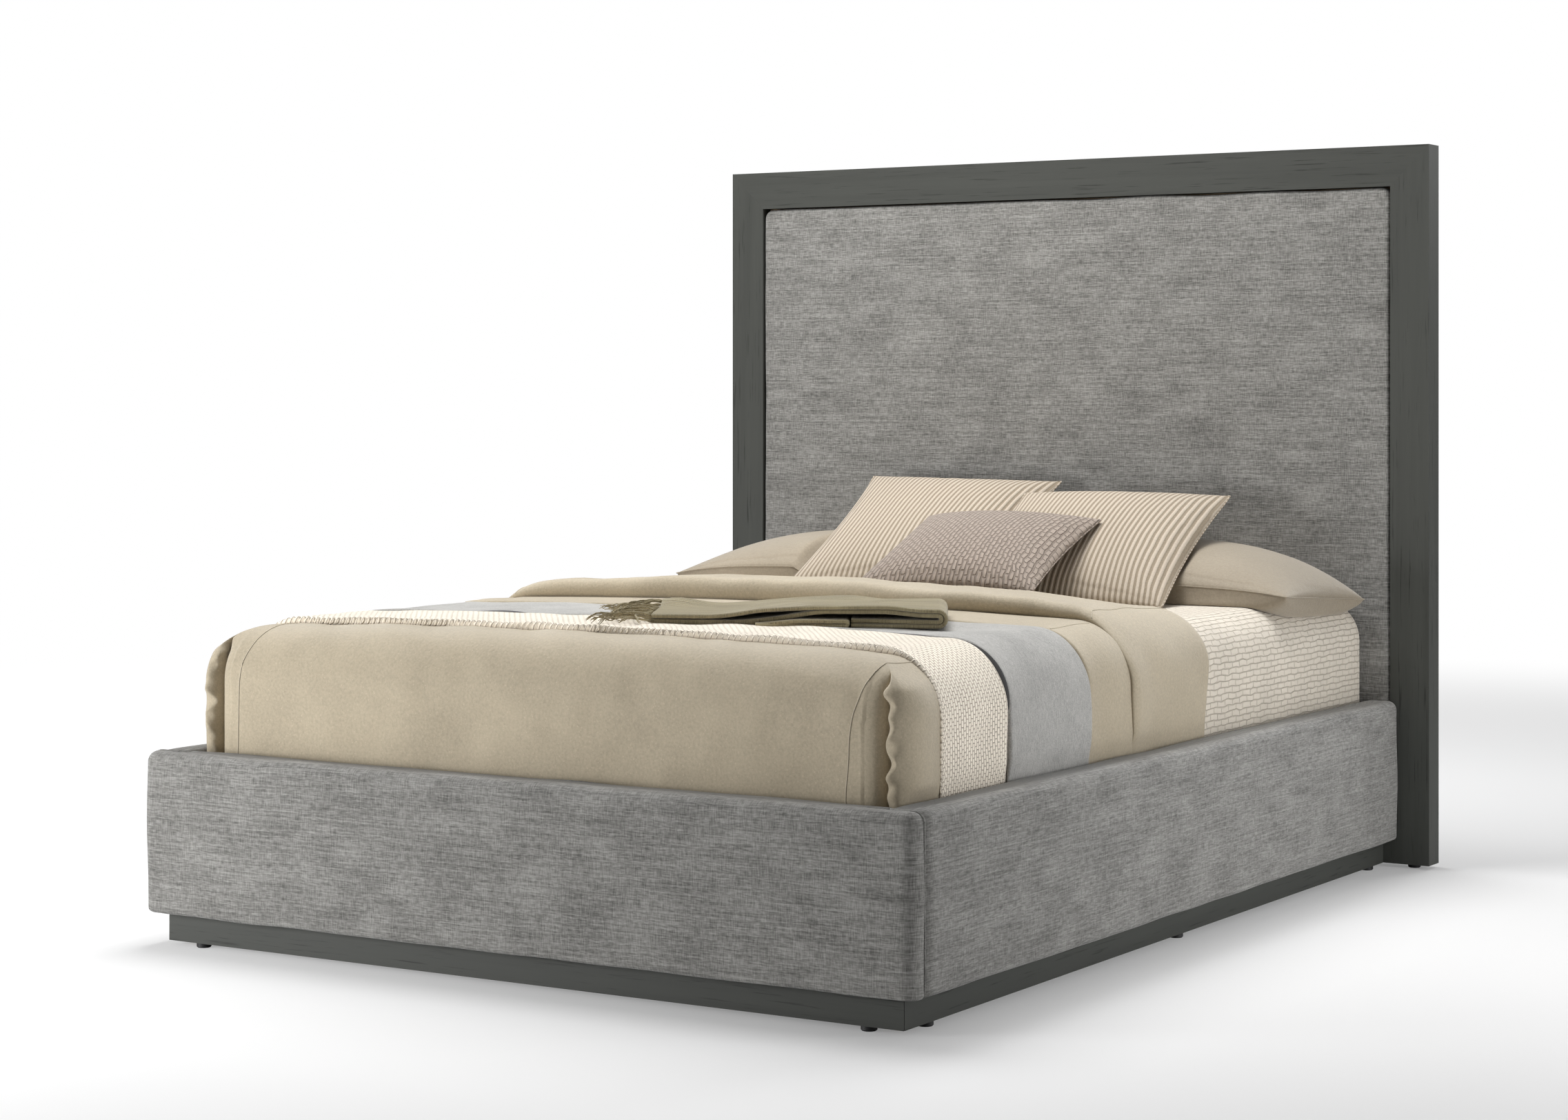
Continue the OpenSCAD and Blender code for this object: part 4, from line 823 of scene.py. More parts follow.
# Bars of puffed cotton, length and height, with the furrow between them; times lightens or darkens the ivory
sheetLook = {"bar": (0.036, 0.0125), "furrow": 0.0016, "depth": 0.0022, "wobble": 0.008, "times": 0.84,
             "corner": 0.033, "topRadius": 0.095, "thick": 0.0022}
ribbed = ribbedCotton("ribbedIvoryCotton", sheetLook)
low, high = nodeBox("fitted_sheet")
sheet = tidyMesh(boxedForm("fittedSheet", low, high, sheetLook["corner"], sheetLook["topRadius"], 0, (12, 18, 16)),
                 fill=False)
solid = sheet.modifiers.new("cloth", "SOLIDIFY")
solid.thickness, solid.offset = sheetLook["thick"], -1
dress(sheet, "made_up_mattress", ribbed, ["fitted_sheet"])
print("mattress and sheet made")


# Blankets and duvet over the bed
def archSection(side, up, swell, counts=(16, 18, 56)):
    # Section over the bed from the right hem to the left, in two mirrored
    # halves: wall, quarter circle, and a top crowned by one less x squared
    half, top, radius = bed["half"] + side, bed["top"] + up, bed["radius"] + side + up * 1.1
    wallZ = np.linspace(bed["low"], top - radius, counts[0])[:-1]
    turn = np.linspace(0, np.pi / 2, counts[1])
    reach = half - radius
    flatX = np.linspace(reach, 0, counts[2] // 2)[1:]
    right = np.concatenate([np.stack([np.full(len(wallZ), half), wallZ], -1),
                            np.stack([reach + radius * np.cos(turn), top - radius + radius * np.sin(turn)], -1),
                            np.stack([flatX, top + swell * (1 - (flatX / reach) ** 2)], -1)])
    left = right[:-1][::-1] * [-1, 1]
    return np.concatenate([right, left])


def sectionNormals(section):
    # Outward normals: the direction along the section turned a quarter to its right
    along = np.gradient(section, axis=0)
    out = np.stack([along[:, 1], -along[:, 0]], -1)
    return out / np.linalg.norm(out, axis=1, keepdims=True)


def bandOver(name, rows, edit, counts=(16, 18, 56)):
    # Each row is (y, side, up, swell): a section over the bed at that y, moved in y and
    # lifted along its normals by edit; the rows run once round the cloth's thickness
    sections = np.array([archSection(*row[1:], counts) for row in rows])
    run = np.array([runLength(s) for s in sections])
    y = np.broadcast_to(np.array([r[0] for r in rows])[:, None], run.shape)
    normals = np.array([sectionNormals(s) for s in sections])
    outer = np.array([r[2] for r in rows])[:, None]
    y, lift = edit(run, y, sections[..., 1], outer)
    flat = sections + normals * lift[..., None]
    points = np.stack([flat[..., 0], y, flat[..., 1]], -1)
    points = np.concatenate([points, points[:1]])
    uv = np.stack([np.concatenate([run, run[:1]]), np.concatenate([y, y[:1]]) - y.min()], -1)
    return tidyMesh(gridObject(name, points, uv))


def hemmedRows(y0, y1, thick, spacing, hem):
    # Front hem, outer face, rear hem and inner face of a flat
    # blanket; a hem is half an ellipse, cosine in y and sine up
    side, swell = hemSide, crown
    curl = np.linspace(-np.pi / 2, np.pi / 2, 9)
    front = [(y0 + hem * (1 - math.cos(a)), side * (1 + math.sin(a)) / 2, thick * (1 + math.sin(a)) / 2, swell)
             for a in curl]
    outer = [(y, side, thick, swell) for y in np.linspace(y0 + hem, y1 - hem, max(3, int((y1 - y0) / spacing)))[1:-1]]
    back = [(y1 - hem * (1 - math.cos(a)), side * (1 + math.sin(a)) / 2, thick * (1 + math.sin(a)) / 2, swell)
            for a in curl[::-1]]
    inner = [(y, 0, 0, swell) for y in np.linspace(y1 - hem, y0 + hem, 6)[1:-1]]
    return front + outer + back + inner


def standOff(z, amount, start=0.372, full=0.41):
    # Cloth that hangs free above the rail stands out from the mattress's side by the amount times a smooth step
    return amount * smooth(z, start, full)


waffleLow, waffleHigh = nodeBox("waffle_blanket")
greyLow, greyHigh = nodeBox("grey_blanket")
duvetLow, duvetHigh = nodeBox("duvet")
stripEnd, foldEnd = -0.155, duvetHigh[1]
crown, hemSide = 0.011, 0.004
waffleLook = {"bar": (0.0125, 0.0082), "furrow": 0.0012, "depth": 0.0024, "wobble": 0.004, "times": 1.22,
              "thick": 0.017, "hem": 0.008, "chunkOut": 0.0060, "chunkUp": 0.0050, "hangOut": 0.0035, "slack": 0.0010}
greyLook = {"thick": 0.013, "hem": 0.006, "hemWave": 0.0035, "hangOut": 0.005, "slack": 0.0012, "hemUp": 0.0035}
stripLook = {"thick": 0.014, "hem": 0.007, "hangOut": 0.006, "slack": 0.0014}
foldLook = {"thick": 0.052, "roll": 0.024, "rearIn": 0.034, "frontWave": 0.006, "rearWave": 0.004, "hangOut": 0.0115,
            "slack": 0.0020, "creases": 0.0010}


def waffleEdit(run, y, z, outer):
    # Puffed chunks along the front hem: the root of a sine's size moves it forwards and up, over slow sums of sines
    look = waffleLook
    t = outer / look["thick"]
    frontness = 1 - smooth(y, waffleLow[1], waffleLow[1] + 0.030)
    chunks = np.abs(np.sin(np.pi * run / look["bar"][0] + 0.3 * softWaves(run, 0 * run, 0.5, 4))) ** 0.5
    y = y - frontness * t * look["chunkOut"] * chunks + 0.002 * softWaves(run, 0 * run, 0.30, 21) * frontness
    puff = look["chunkUp"] * (chunks - 0.5) * frontness
    lift = t * (standOff(z, look["hangOut"]) + puff + look["slack"] * softWaves(run, y, 0.16, 22))
    return y, lift


def greyEdit(run, y, z, outer):
    # Wavering hems: sums of sines along the run move them in y, and others lift the slack top
    look = greyLook
    t = outer / look["thick"]
    frontness = 1 - smooth(y, greyLow[1], greyLow[1] + 0.030)
    rearness = smooth(y, greyHigh[1] - 0.04, greyHigh[1])
    y = y + look["hemWave"] * softWaves(run, 0 * run, 0.34, 31) * (frontness + 0.6 * rearness)
    slack = look["slack"] * softWaves(run, y, 0.19, 32)
    lift = t * (standOff(z, look["hangOut"]) + slack + look["hemUp"] * frontness)
    return y, lift


def stripEdit(run, y, z, outer):
    # Slack top: a sum of sines lifts it, and the sides stand off
    t = outer / stripLook["thick"]
    lift = t * (standOff(z, stripLook["hangOut"]) + stripLook["slack"] * softWaves(run, y, 0.21, 42))
    return y, lift


def foldEdit(run, y, z, outer):
    # The front edge wavers by sums of sines, the rear edge bows in by smooth steps
    # where the fold hangs down the side, and sines in two lengths lift the slack
    look = foldLook
    t = np.clip(outer / look["thick"], 0, 1)
    low = 1 - smooth(z, 0.36, 0.56)
    rearness = smooth(y, stripEnd + 0.12, foldEnd)
    frontness = 1 - smooth(y, stripEnd, stripEnd + 0.10)
    y = y - rearness * low * look["rearIn"] - frontness * look["frontWave"] * softWaves(run, 0 * run, 0.5, 53)
    y = y + rearness * look["rearWave"] * softWaves(run, 0 * run, 0.42, 54)
    hang = standOff(z, look["hangOut"]) * (1 - smooth(z, 0.50, 0.60))
    hang = hang * (0.45 + 0.55 * frontness + 0.25 * (1 - rearness))
    lift = t * (hang + look["slack"] * softWaves(run, y, 0.26, 51) + look["creases"] * softWaves(run, y, 0.11, 52))
    return y, lift


waffleCloth = ribbedCotton("waffleIvoryCotton", waffleLook)
waffleRows = hemmedRows(waffleLow[1], waffleHigh[1], waffleLook["thick"], 0.014, waffleLook["hem"])
waffle = bandOver("waffleBlanket", waffleRows, waffleEdit, (90, 60, 700))
dress(waffle, "made_up_mattress", waffleCloth, ["waffle_blanket"])
greyRows = hemmedRows(greyLow[1], greyHigh[1] + 0.003, greyLook["thick"], 0.016, greyLook["hem"])
grey = bandOver("greyBlanket", greyRows, greyEdit)
dress(grey, "made_up_mattress", greyWool("heatherGreyWool"), ["grey_blanket"])
stripRows = hemmedRows(duvetLow[1], stripEnd + 0.012, stripLook["thick"], 0.016, stripLook["hem"])
strip = bandOver("duvetSingle", stripRows, stripEdit)
dress(strip, "made_up_mattress", satin, ["duvet"])


def foldRows():
    # Front roll as half an ellipse, cosine in y and sine up, then the turned-back part thinning to its rear hem
    thick, roll, length = foldLook["thick"], foldLook["roll"], foldEnd - stripEnd
    rows = []
    for a in np.linspace(-np.pi / 2, np.pi / 2, 15):
        rise = 1 + math.sin(a)
        rows.append((stripEnd + roll * (1 - math.cos(a)), hemSide * rise / 2, 0.012 + (thick - 0.012) * rise / 2,
                     crown * (1 + 0.65 * rise)))
    middle = [(0.10, 1.0, 2.4), (0.16, 0.98, 2.45), (0.24, 0.95, 2.45), (0.32, 0.91, 2.45), (0.42, 0.87, 2.4),
              (0.52, 0.80, 2.4), (0.62, 0.73, 2.4), (0.72, 0.66, 2.4), (0.82, 0.58, 2.4), (0.90, 0.51, 2.35),
              (0.95, 0.45, 2.25), (0.98, 0.36, 2.1), (0.995, 0.24, 1.8), (1.0, 0.12, 1.6)]
    rows += [(stripEnd + roll + (length - roll) * t, hemSide, thick * up, crown * swell) for t, up, swell in middle]
    rows += [(foldEnd - 0.002, 0.0005, 0.002, crown)]
    rows += [(y, 0, 0.0002, crown) for y in np.linspace(foldEnd - 0.03, stripEnd + 0.03, 7)]
    return rows


fold = bandOver("duvetTurnedBack", foldRows(), foldEdit)
dress(fold, "made_up_mattress", satin, ["duvet"])
print("blankets and duvet made")


# Foot coverlet
coverLook = {"half": 0.769, "front": -1.031, "back": -0.8925, "top": 0.6084, "edge": 0.105, "corner": 0.040,
             "pleatEnds": (0.556, 0.590), "ruffle": 0.0085, "ruffleWave": 0.076, "liningTop": 0.5986,
             "liningEdge": 0.095, "slack": 0.0022, "creases": 0.0009}
# The corner pleat seen from above, in millimetres: how far
# along the cloth, then in from the side and back from the front
pleatRun = np.array([0, 20, 34, 44, 52, 58, 63, 67, 69, 70, 71, 73, 75, 78, 83, 90, 98, 107, 117, 131, 148, 172, 200,
                     220, 232.8]) / 1000
pleatPlan = np.array([(100, 0), (80, 0), (66, -1), (56, 1), (48, 5), (42, 12), (37.5, 21), (34.5, 31), (32.5, 40),
                      (31, 43), (29.5, 40), (28.5, 30), (27.5, 19), (25.5, 8), (22, 1), (16, -3), (9, -2), (2, 4),
                      (-5, 14), (-11, 29), (-14, 48), (-13, 75), (-8, 105), (-3, 130), (0, 150)]) / 1000


def throughPoints(places, values, at):
    # Smooth curve through the values at their places: between
    # two of them, the cubic that keeps both values and slopes
    values = np.asarray(values, float)
    slope = np.gradient(values, places, axis=0)
    k = np.clip(np.searchsorted(places, at, side="right") - 1, 0, len(places) - 2)
    gap = (places[k + 1] - places[k])[:, None]
    t = (at - places[k])[:, None] / gap
    heights = values[k] * (1 + 2 * t) * (1 - t) ** 2 + values[k + 1] * t * t * (3 - 2 * t)
    return heights + gap * (slope[k] * t * (1 - t) ** 2 - slope[k + 1] * t * t * (1 - t))


def cornerPlan(run, inset, corner, depth, reach=0.100):
    # Plain corner seen from above, as (in from the side, back from
    # the front): foot face, arc, then the side back to its depth
    radius = max(min(max(corner - inset, 0.003), depth - inset), 0.0)
    first = reach - corner
    second = first + corner * math.pi / 2
    last = second + depth - corner
    f = np.clip(run / first, 0, 1)
    turn = np.clip((run - first) / (second - first), 0, 1) * np.pi / 2
    g = np.clip((run - second) / (last - second), 0, 1)
    start = reach + 0.6 * inset
    a = np.where(run < first, start + (inset + radius - start) * f, inset + radius - radius * np.sin(turn))
    b = np.where(run < second, inset + radius - radius * np.cos(turn), inset + radius + (depth - inset - radius) * g)
    return np.stack([a, b], -1)


def coverletRow(z, inset, half, front, corner, pleat):
    # One row round the foot at height z: the plain corner, plus the pleat's departure from a plain one,
    # plus a ruffle of sines in z near the seam; mirrored to the left, and crowned by one less x squared
    depth = coverLook["back"] - front
    run = np.clip(coverRun, 0, 0.060 + 0.040 * math.pi / 2 + depth - 0.040)
    plain = cornerPlan(run, inset, corner, depth)
    keep = pleat * (1 - smooth(z, *coverLook["pleatEnds"]))
    shift = (throughPoints(pleatRun, pleatPlan, run) - cornerPlan(run, 0, 0.040, 0.150)) * keep
    shift[:, 0] = np.where(shift[:, 0] < 0, shift[:, 0] * smooth(z, 0.366, 0.40), shift[:, 0])
    ruffle = coverLook["ruffle"] * keep * np.exp(-((run - 0.088) / 0.012) ** 2)
    wave = 2 * math.pi * z / coverLook["ruffleWave"]
    sideways = 0.7 * math.sin(wave + 0.6) + 0.5 * math.sin(1.63 * wave + 2)
    forwards = 0.5 * math.cos(wave) + 0.4 * math.sin(2.3 * wave + 1)
    shift += np.stack([ruffle * sideways, ruffle * forwards], -1)
    right = plain + shift
    away = np.stack([half - right[:, 0], front + right[:, 1]], -1)
    startX = half - (0.100 + 0.6 * inset)
    middle = np.stack([np.linspace(startX, -startX, 74)[1:-1], np.full(72, front + inset)], -1)
    loop = np.concatenate([away[::-1], middle, away * [-1, 1]])
    crowned = z + crown * np.clip(1 - (loop[:, 0] / 0.664) ** 2, 0, 1) * smooth(z, 0.45, 0.600)
    return np.concatenate([loop, crowned[:, None]], 1)


controlRun = runLength(pleatPlan)
coverRun = np.interp(np.linspace(0, np.interp(0.2213, pleatRun, controlRun), 96), controlRun, pleatRun)
look = coverLook  # outer face from the hem up and in over the top, then the lining back down
outerRows = [(z, 0.0) for z in np.linspace(bed["low"], look["top"] - look["edge"], 46)]
outerRows += [(look["top"] - look["edge"] * (1 - math.sin(a)), look["edge"] * (1 - math.cos(a)))
              for a in np.linspace(0, np.pi / 2, 34)[1:]]
outerRows += [(look["top"], d) for d in (0.113, 0.122, 0.131, 0.1365)]
shell = [coverletRow(z, d, look["half"], look["front"], look["corner"], 1.0) for z, d in outerRows]
innerRows = [(look["liningTop"] - look["liningEdge"] * (1 - math.sin(a)), look["liningEdge"] * (1 - math.cos(a)))
             for a in np.linspace(np.pi / 2, 0, 9)] + [(z, 0.0) for z in (0.45, 0.39, bed["low"])]
lining = [coverletRow(z, min(d, 0.0915), 0.7652, -0.985, 0.033, 0.0) for z, d in innerRows]
points = np.array(shell + lining)
flat = np.stack([runLength(points, axis=1), np.broadcast_to(runLength(points, axis=0)[:, :1], points.shape[:2])], -1)
soft = np.zeros(points.shape[:2])
outside = points[:len(shell)]
soft[:len(shell)] = look["slack"] * softWaves(outside[..., 0] + outside[..., 1], outside[..., 2], 0.24, 61)
soft[:len(shell)] += look["creases"] * softWaves(outside[..., 0] + outside[..., 1], outside[..., 2], 0.07, 62)
points[..., 1] -= soft * (1 - smooth(points[..., 2], 0.57, 0.61)) * (np.abs(points[..., 0]) < 0.70)
points[..., 2] += 0.7 * soft * smooth(points[..., 2], 0.57, 0.61)
points = np.concatenate([points, points[:1]])
coverlet = tidyMesh(gridObject("footCoverlet", points, np.concatenate([flat, flat[:1]])))
dress(coverlet, "made_up_mattress", satin, ["foot_coverlet"])


# Each seam: the piece it lies on, its thread's radius, and points near its line
seams = {
    "coverletSeamRight": (coverlet, 0.0011, [
        (0.664, -1.033, 0.34), (0.667, -1.033, 0.40), (0.675, -1.033, 0.492), (0.688, -1.02, 0.545),
        (0.700, -0.998, 0.588), (0.716, -0.94, 0.604), (0.720, -0.897, 0.604)]),
    "coverletSeamLeft": (coverlet, 0.0011, [
        (-0.684, -1.033, 0.34), (-0.681, -1.033, 0.40), (-0.677, -1.033, 0.482), (-0.670, -1.018, 0.555),
        (-0.658, -0.975, 0.608), (-0.650, -0.897, 0.612)]),
    "foldSeamRight": (fold, 0.0010, [
        (0.688, stripEnd - 0.002, 0.625), (0.690, stripEnd + 0.01, 0.655), (0.690, -0.05, 0.665),
        (0.685, 0.08, 0.66), (0.680, foldEnd - 0.01, 0.63)]),
    "foldSeamLeft": (fold, 0.0010, [
        (-0.688, stripEnd - 0.002, 0.625), (-0.690, stripEnd + 0.01, 0.655), (-0.690, -0.05, 0.665),
        (-0.685, 0.08, 0.66), (-0.680, foldEnd - 0.01, 0.63)]),
    "singleSeamRight": (strip, 0.0010, [(0.688, -0.325, 0.62), (0.688, -0.24, 0.62), (0.690, -0.165, 0.62)]),
    "singleSeamLeft": (strip, 0.0010, [(-0.688, -0.325, 0.62), (-0.688, -0.24, 0.62), (-0.690, -0.165, 0.62)]),
}


def seamOn(name, obj, radius, controls):
    # A stitched seam: a smooth curve through the points, each moved to the nearest spot on
    # the piece and out along its normal by 0.35 of the radius, carries a thin round thread
    controls = np.array(controls, float)
    path = throughPoints(runLength(controls), controls, np.linspace(0, runLength(controls)[-1], 90))
    found = [obj.closest_point_on_mesh(p) for p in path.tolist()]
    path = np.array([np.array(hit[1]) + np.array(hit[2]) * radius * 0.35 for hit in found])
    dress(tubeAlong(name, path, radius, 6), "made_up_mattress", thread)


thread = plainCloth("greigeStitching", (0.56, 0.50, 0.39), 0.06, 0, 0.8, 0.2)[0]
for seamName, values in seams.items():
    seamOn(seamName, *values)
print("coverlet made")


# Pillows and cushions
def placed(points, look):
    # Local points turned about z by spin, tipped about x by tilt, turned about z by turn, then moved to their place
    def about(axis, degrees):
        # Matrix of a turn about x or z, from the angle's cosine and sine
        c, s = math.cos(math.radians(degrees)), math.sin(math.radians(degrees))
        return np.array({"x": [(1, 0, 0), (0, c, -s), (0, s, c)], "z": [(c, -s, 0), (s, c, 0), (0, 0, 1)]}[axis])
    matrix = about("z", look.get("turn", 0)) @ about("x", look.get("tilt", 0)) @ about("z", look.get("spin", 0))
    return points @ matrix.T + np.array(look["place"]), matrix


def bedBelow(look, x, gap):
    # Height of the bed under a sleeping pillow: flat, then down the mattress's rounded edge by the circle's formula
    overEdge = np.clip(np.abs(look["place"][0] + x) - 0.67, 0, 0.0945)
    return -look["lift"] + gap - (0.095 - np.sqrt(0.095 ** 2 - overEdge ** 2))


def pillowFaces(look, u, v):
    # Upper and lower face over u and v, each -1 to 1: the fullness is the root of (1 - u squared)(1 - v squared),
    # leaning towards +v, and the sides draw in between the corners by pull times one less the square of the other one
    lean = look.get("lean", 0.0)
    peak = (1 - lean) ** 0.5 * (1 + lean) ** (0.5 + lean)
    full = np.sqrt(np.clip(1 - u * u, 0, None)) * np.sqrt(np.clip(1 - v, 0, None))
    full = full * np.clip(1 + v, 0, None) ** (0.5 + lean) / peak
    droop = look.get("droop", (0, 0))
    sag = (droop[0] + (droop[1] - droop[0]) * (1 + v) / 2) * np.abs(u) ** 3
    blunt = 1 - look.get("blunt", 0.012) * np.abs(u * v) ** 10
    x = look["size"][0] / 2 * u * (1 - look["pull"] * (1 - v * v)) * blunt
    y = look["size"][1] / 2 * v * (1 - look["pull"] * (1 - u * u)) * blunt
    top = look["up"] * full - sag
    below = np.minimum(1, 1.5 * full)
    if "lift" in look:  # lies flat on the bed
        below = np.minimum(1, 2.1 * (np.clip(1 - u * u, 0, None) * np.clip(1 - v * v, 0, None)) ** 0.42)
    bottom = -look["down"] * below - sag
    if "lift" in look:
        bottom = np.maximum(bottom, bedBelow(look, x, 0.001))
        top = np.maximum(top, bottom)
    t = (1 + v) / 0.08
    forward = look.get("belly", 0) * t * np.exp(1 - t) * np.clip(1 - np.abs(u) ** 5, 0, 1)
    return np.stack([x, y, top], -1), np.stack([x, y - forward, bottom], -1)


# The cloth's stiffness, the pressure in it, how much it grows, and the most that a point moves out, in and along
puffLook = {"steps": 20, "quality": 6, "mass": 0.3, "stiffness": 18, "shear": 6, "bending": 0.25, "pressure": 4,
            "shrink": -0.022,
            "out": 0.004, "inwards": 0.0012, "along": 0.006, "seamShare": 0.18, "fieldShare": 0.82, "easeWidth": 0.30}


def puffed(obj, ease):
    # Pressure fills the cover as the cloth grows slightly: each point ends at rest
    # plus ease times its limited move out along the normal and along the surface
    count = len(obj.data.vertices)
    rest, normals = np.empty(count * 3), np.empty(count * 3)
    obj.data.vertices.foreach_get("co", rest)
    obj.data.vertices.foreach_get("normal", normals)
    rest, normals = rest.reshape(-1, 3), normals.reshape(-1, 3)
    cloth = obj.modifiers.new("puff", "CLOTH")
    cloth.settings.quality = puffLook["quality"]
    cloth.settings.mass = puffLook["mass"]
    cloth.settings.tension_stiffness = cloth.settings.compression_stiffness = puffLook["stiffness"]
    cloth.settings.shear_stiffness = puffLook["shear"]
    cloth.settings.bending_stiffness = puffLook["bending"]
    cloth.settings.use_pressure = True
    cloth.settings.uniform_pressure_force = puffLook["pressure"]
    cloth.settings.shrink_min = puffLook["shrink"]
    cloth.settings.effector_weights.gravity = 0
    cloth.point_cache.frame_start, cloth.point_cache.frame_end = 1, puffLook["steps"]
    for step in range(1, puffLook["steps"] + 1):
        scene.frame_set(step)
    moved = np.empty(count * 3)
    result = obj.evaluated_get(bpy.context.evaluated_depsgraph_get())
    result.data.vertices.foreach_get("co", moved)
    obj.modifiers.remove(cloth)
    scene.frame_set(1)
    step = moved.reshape(-1, 3) - rest
    out = (step * normals).sum(1, keepdims=True)
    side = step - out * normals
    far = np.linalg.norm(side, axis=1, keepdims=True)
    side *= np.minimum(1, puffLook["along"] / np.maximum(far, 1e-9))
    puffedOut = rest + ease[:, None] * (np.clip(out, -puffLook["inwards"], puffLook["out"]) * normals + side)
    obj.data.vertices.foreach_set("co", puffedOut.astype(np.float32).ravel())
    obj.data.update()


def presser(look):
    # Underside of a cushion, in its own frame, for pressing what it leans on
    def press(points):
        # Points inside the cushion's outline and above its underside are set down to the underside
        matrix = look["matrix"]
        local = (points - np.array(look["place"])) @ matrix
        half = np.array(look["size"]) / 2
        uv = np.clip(local[:, :2] / half * 1.02, -1, 1)
        inside = (np.abs(local[:, 0]) < half[0]) & (np.abs(local[:, 1]) < half[1])
        under = pillowFaces(look, uv[:, 0], uv[:, 1])[1][:, 2] - 0.003
        push = inside & (local[:, 2] > under) & (local[:, 2] < 0.12)
        local[push, 2] = under[push]
        return local @ matrix.T + np.array(look["place"])
    return press


def pillow(name, look, body, material, replaced, pressed=(), count=72):
    # Both faces over a grid of u and v whose steps, a sine's, are closer at the border; puffed by the
    # simulation, turned and moved to its place, pressed by the cushions on it, and edged with a round seam
    grid = np.sin(np.linspace(-1, 1, count + 1) * np.pi / 2 * 0.86) / math.sin(np.pi / 2 * 0.86)
    u, v = np.meshgrid(grid, grid, indexing="ij")
    top, bottom = pillowFaces(look, u, v)
    upper = np.arange((count + 1) ** 2).reshape(count + 1, count + 1)
    lower = upper.copy()
    lower[1:-1, 1:-1] = (count + 1) ** 2 + np.arange((count - 1) ** 2).reshape(count - 1, count - 1)
    points = np.concatenate([top.reshape(-1, 3), bottom[1:-1, 1:-1].reshape(-1, 3)])
    faces = [np.stack([k[:-1, :-1], k[1:, :-1], k[1:, 1:], k[:-1, 1:]], -1).reshape(-1, 4) for k in (upper, lower)]
    quads = np.concatenate([faces[0], faces[1][:, ::-1]])
    mesh = bpy.data.meshes.new(name)
    mesh.from_pydata(points.tolist(), [], quads.tolist())
    flat = np.stack([u * look["size"][0] / 2, v * look["size"][1] / 2], -1).reshape(-1, 2)
    uvOf = np.concatenate([flat, flat.reshape(count + 1, count + 1, 2)[1:-1, 1:-1].reshape(-1, 2)])
    mesh.uv_layers.new(name="cloth").data.foreach_set("uv", uvOf[quads].astype(np.float32).ravel())
    obj = bpy.data.objects.new(name, mesh)
    scene.collection.objects.link(obj)
    mesh.polygons.foreach_set("use_smooth", np.ones(len(quads), bool))
    field = smooth(1 - np.maximum(np.abs(u), np.abs(v)), 0, puffLook["easeWidth"])
    inward = puffLook["seamShare"] + puffLook["fieldShare"] * field
    ease = np.concatenate([inward.ravel(), inward[1:-1, 1:-1].ravel()])
    puffed(obj, ease)
    local = np.empty(len(points) * 3)
    mesh.vertices.foreach_get("co", local)
    local = local.reshape(-1, 3)
    if "lift" in look:
        local[:, 2] = np.maximum(local[:, 2], bedBelow(look, local[:, 0], 0.0008))
    world, look["matrix"] = placed(local, look)
    for press in pressed:
        world = press(world)
    mesh.vertices.foreach_set("co", world.astype(np.float32).ravel())
    mesh.update()
    finer = obj.modifiers.new("finer", "SUBSURF")
    finer.levels = finer.render_levels = 1
    dress(obj, body, material, replaced)
    border = np.concatenate([upper[:-1, 0], upper[-1, :-1], upper[:0:-1, -1], upper[0, :0:-1]])
    path = world[np.concatenate([border, border[:1]])]
    piping = tubeAlong(name + "Seam", path, 0.0016, 6)
    dress(piping, body, material)


stripedCloth, taupeCloth = stripedLinen("stripedLinen"), crinkledTaupe("crinkledTaupe")
pillowCloth = plainCloth("taupeSatin", (0.318, 0.268, 0.198), 0.14, 0.25, 0.72, 0.35)[0]
# Each size and each height above and below the seam is in metres, and each turn in degrees;
# lift is the seam's height over the bed, droop how far the two ends sag, near and far
pillowLooks = {
    "leftStriped": {"size": (0.500, 0.500), "up": 0.060, "down": 0.023, "pull": 0.09,
                    "place": (-0.200, 0.773, 0.7284), "tilt": 29, "turn": 4, "spin": -1.5},
    "rightStriped": {"size": (0.500, 0.500), "up": 0.060, "down": 0.023, "pull": 0.06,
                     "place": (0.276, 0.674, 0.7114), "tilt": 26.5, "turn": 5},
    "small": {"size": (0.418, 0.418), "up": 0.056, "down": 0.019, "pull": 0.06, "place": (0.126, 0.4336, 0.7077),
              "tilt": 18.8, "turn": 5},
    "sleepingLeft": {"size": (0.750, 0.445), "up": 0.074, "down": 0.078, "pull": 0.04, "lean": 0.15,
                     "droop": (0.024, 0.024), "lift": 0.052, "blunt": 0.008, "belly": 0.014,
                     "place": (-0.401, 0.8155, 0.6504)},
    "sleepingRight": {"size": (0.750, 0.445), "up": 0.086, "down": 0.060, "pull": 0.04, "lean": 0.15,
                      "droop": (0.016, 0.046), "lift": 0.040, "blunt": 0.010, "belly": 0.022,
                      "place": (0.401, 0.8155, 0.6384)},
}
pillow("leftStripedCushion", pillowLooks["leftStriped"], "left_striped", stripedCloth,
       ["striped_cushion_left"])
pillow("rightStripedCushion", pillowLooks["rightStriped"], "right_striped", stripedCloth,
       ["striped_cushion_right"])
pillow("smallCushion", pillowLooks["small"], "small", taupeCloth, ["small_cushion"])
pressing = [presser(pillowLooks["leftStriped"]), presser(pillowLooks["rightStriped"])]
pillow("sleepingPillowLeft", pillowLooks["sleepingLeft"], "sleeping_pillows", pillowCloth,
       ["sleeping_pillow_left"], pressing, 80)
pillow("sleepingPillowRight", pillowLooks["sleepingRight"], "sleeping_pillows", pillowCloth,
       ["sleeping_pillow_right"], pressing, 80)
print("pillows made")


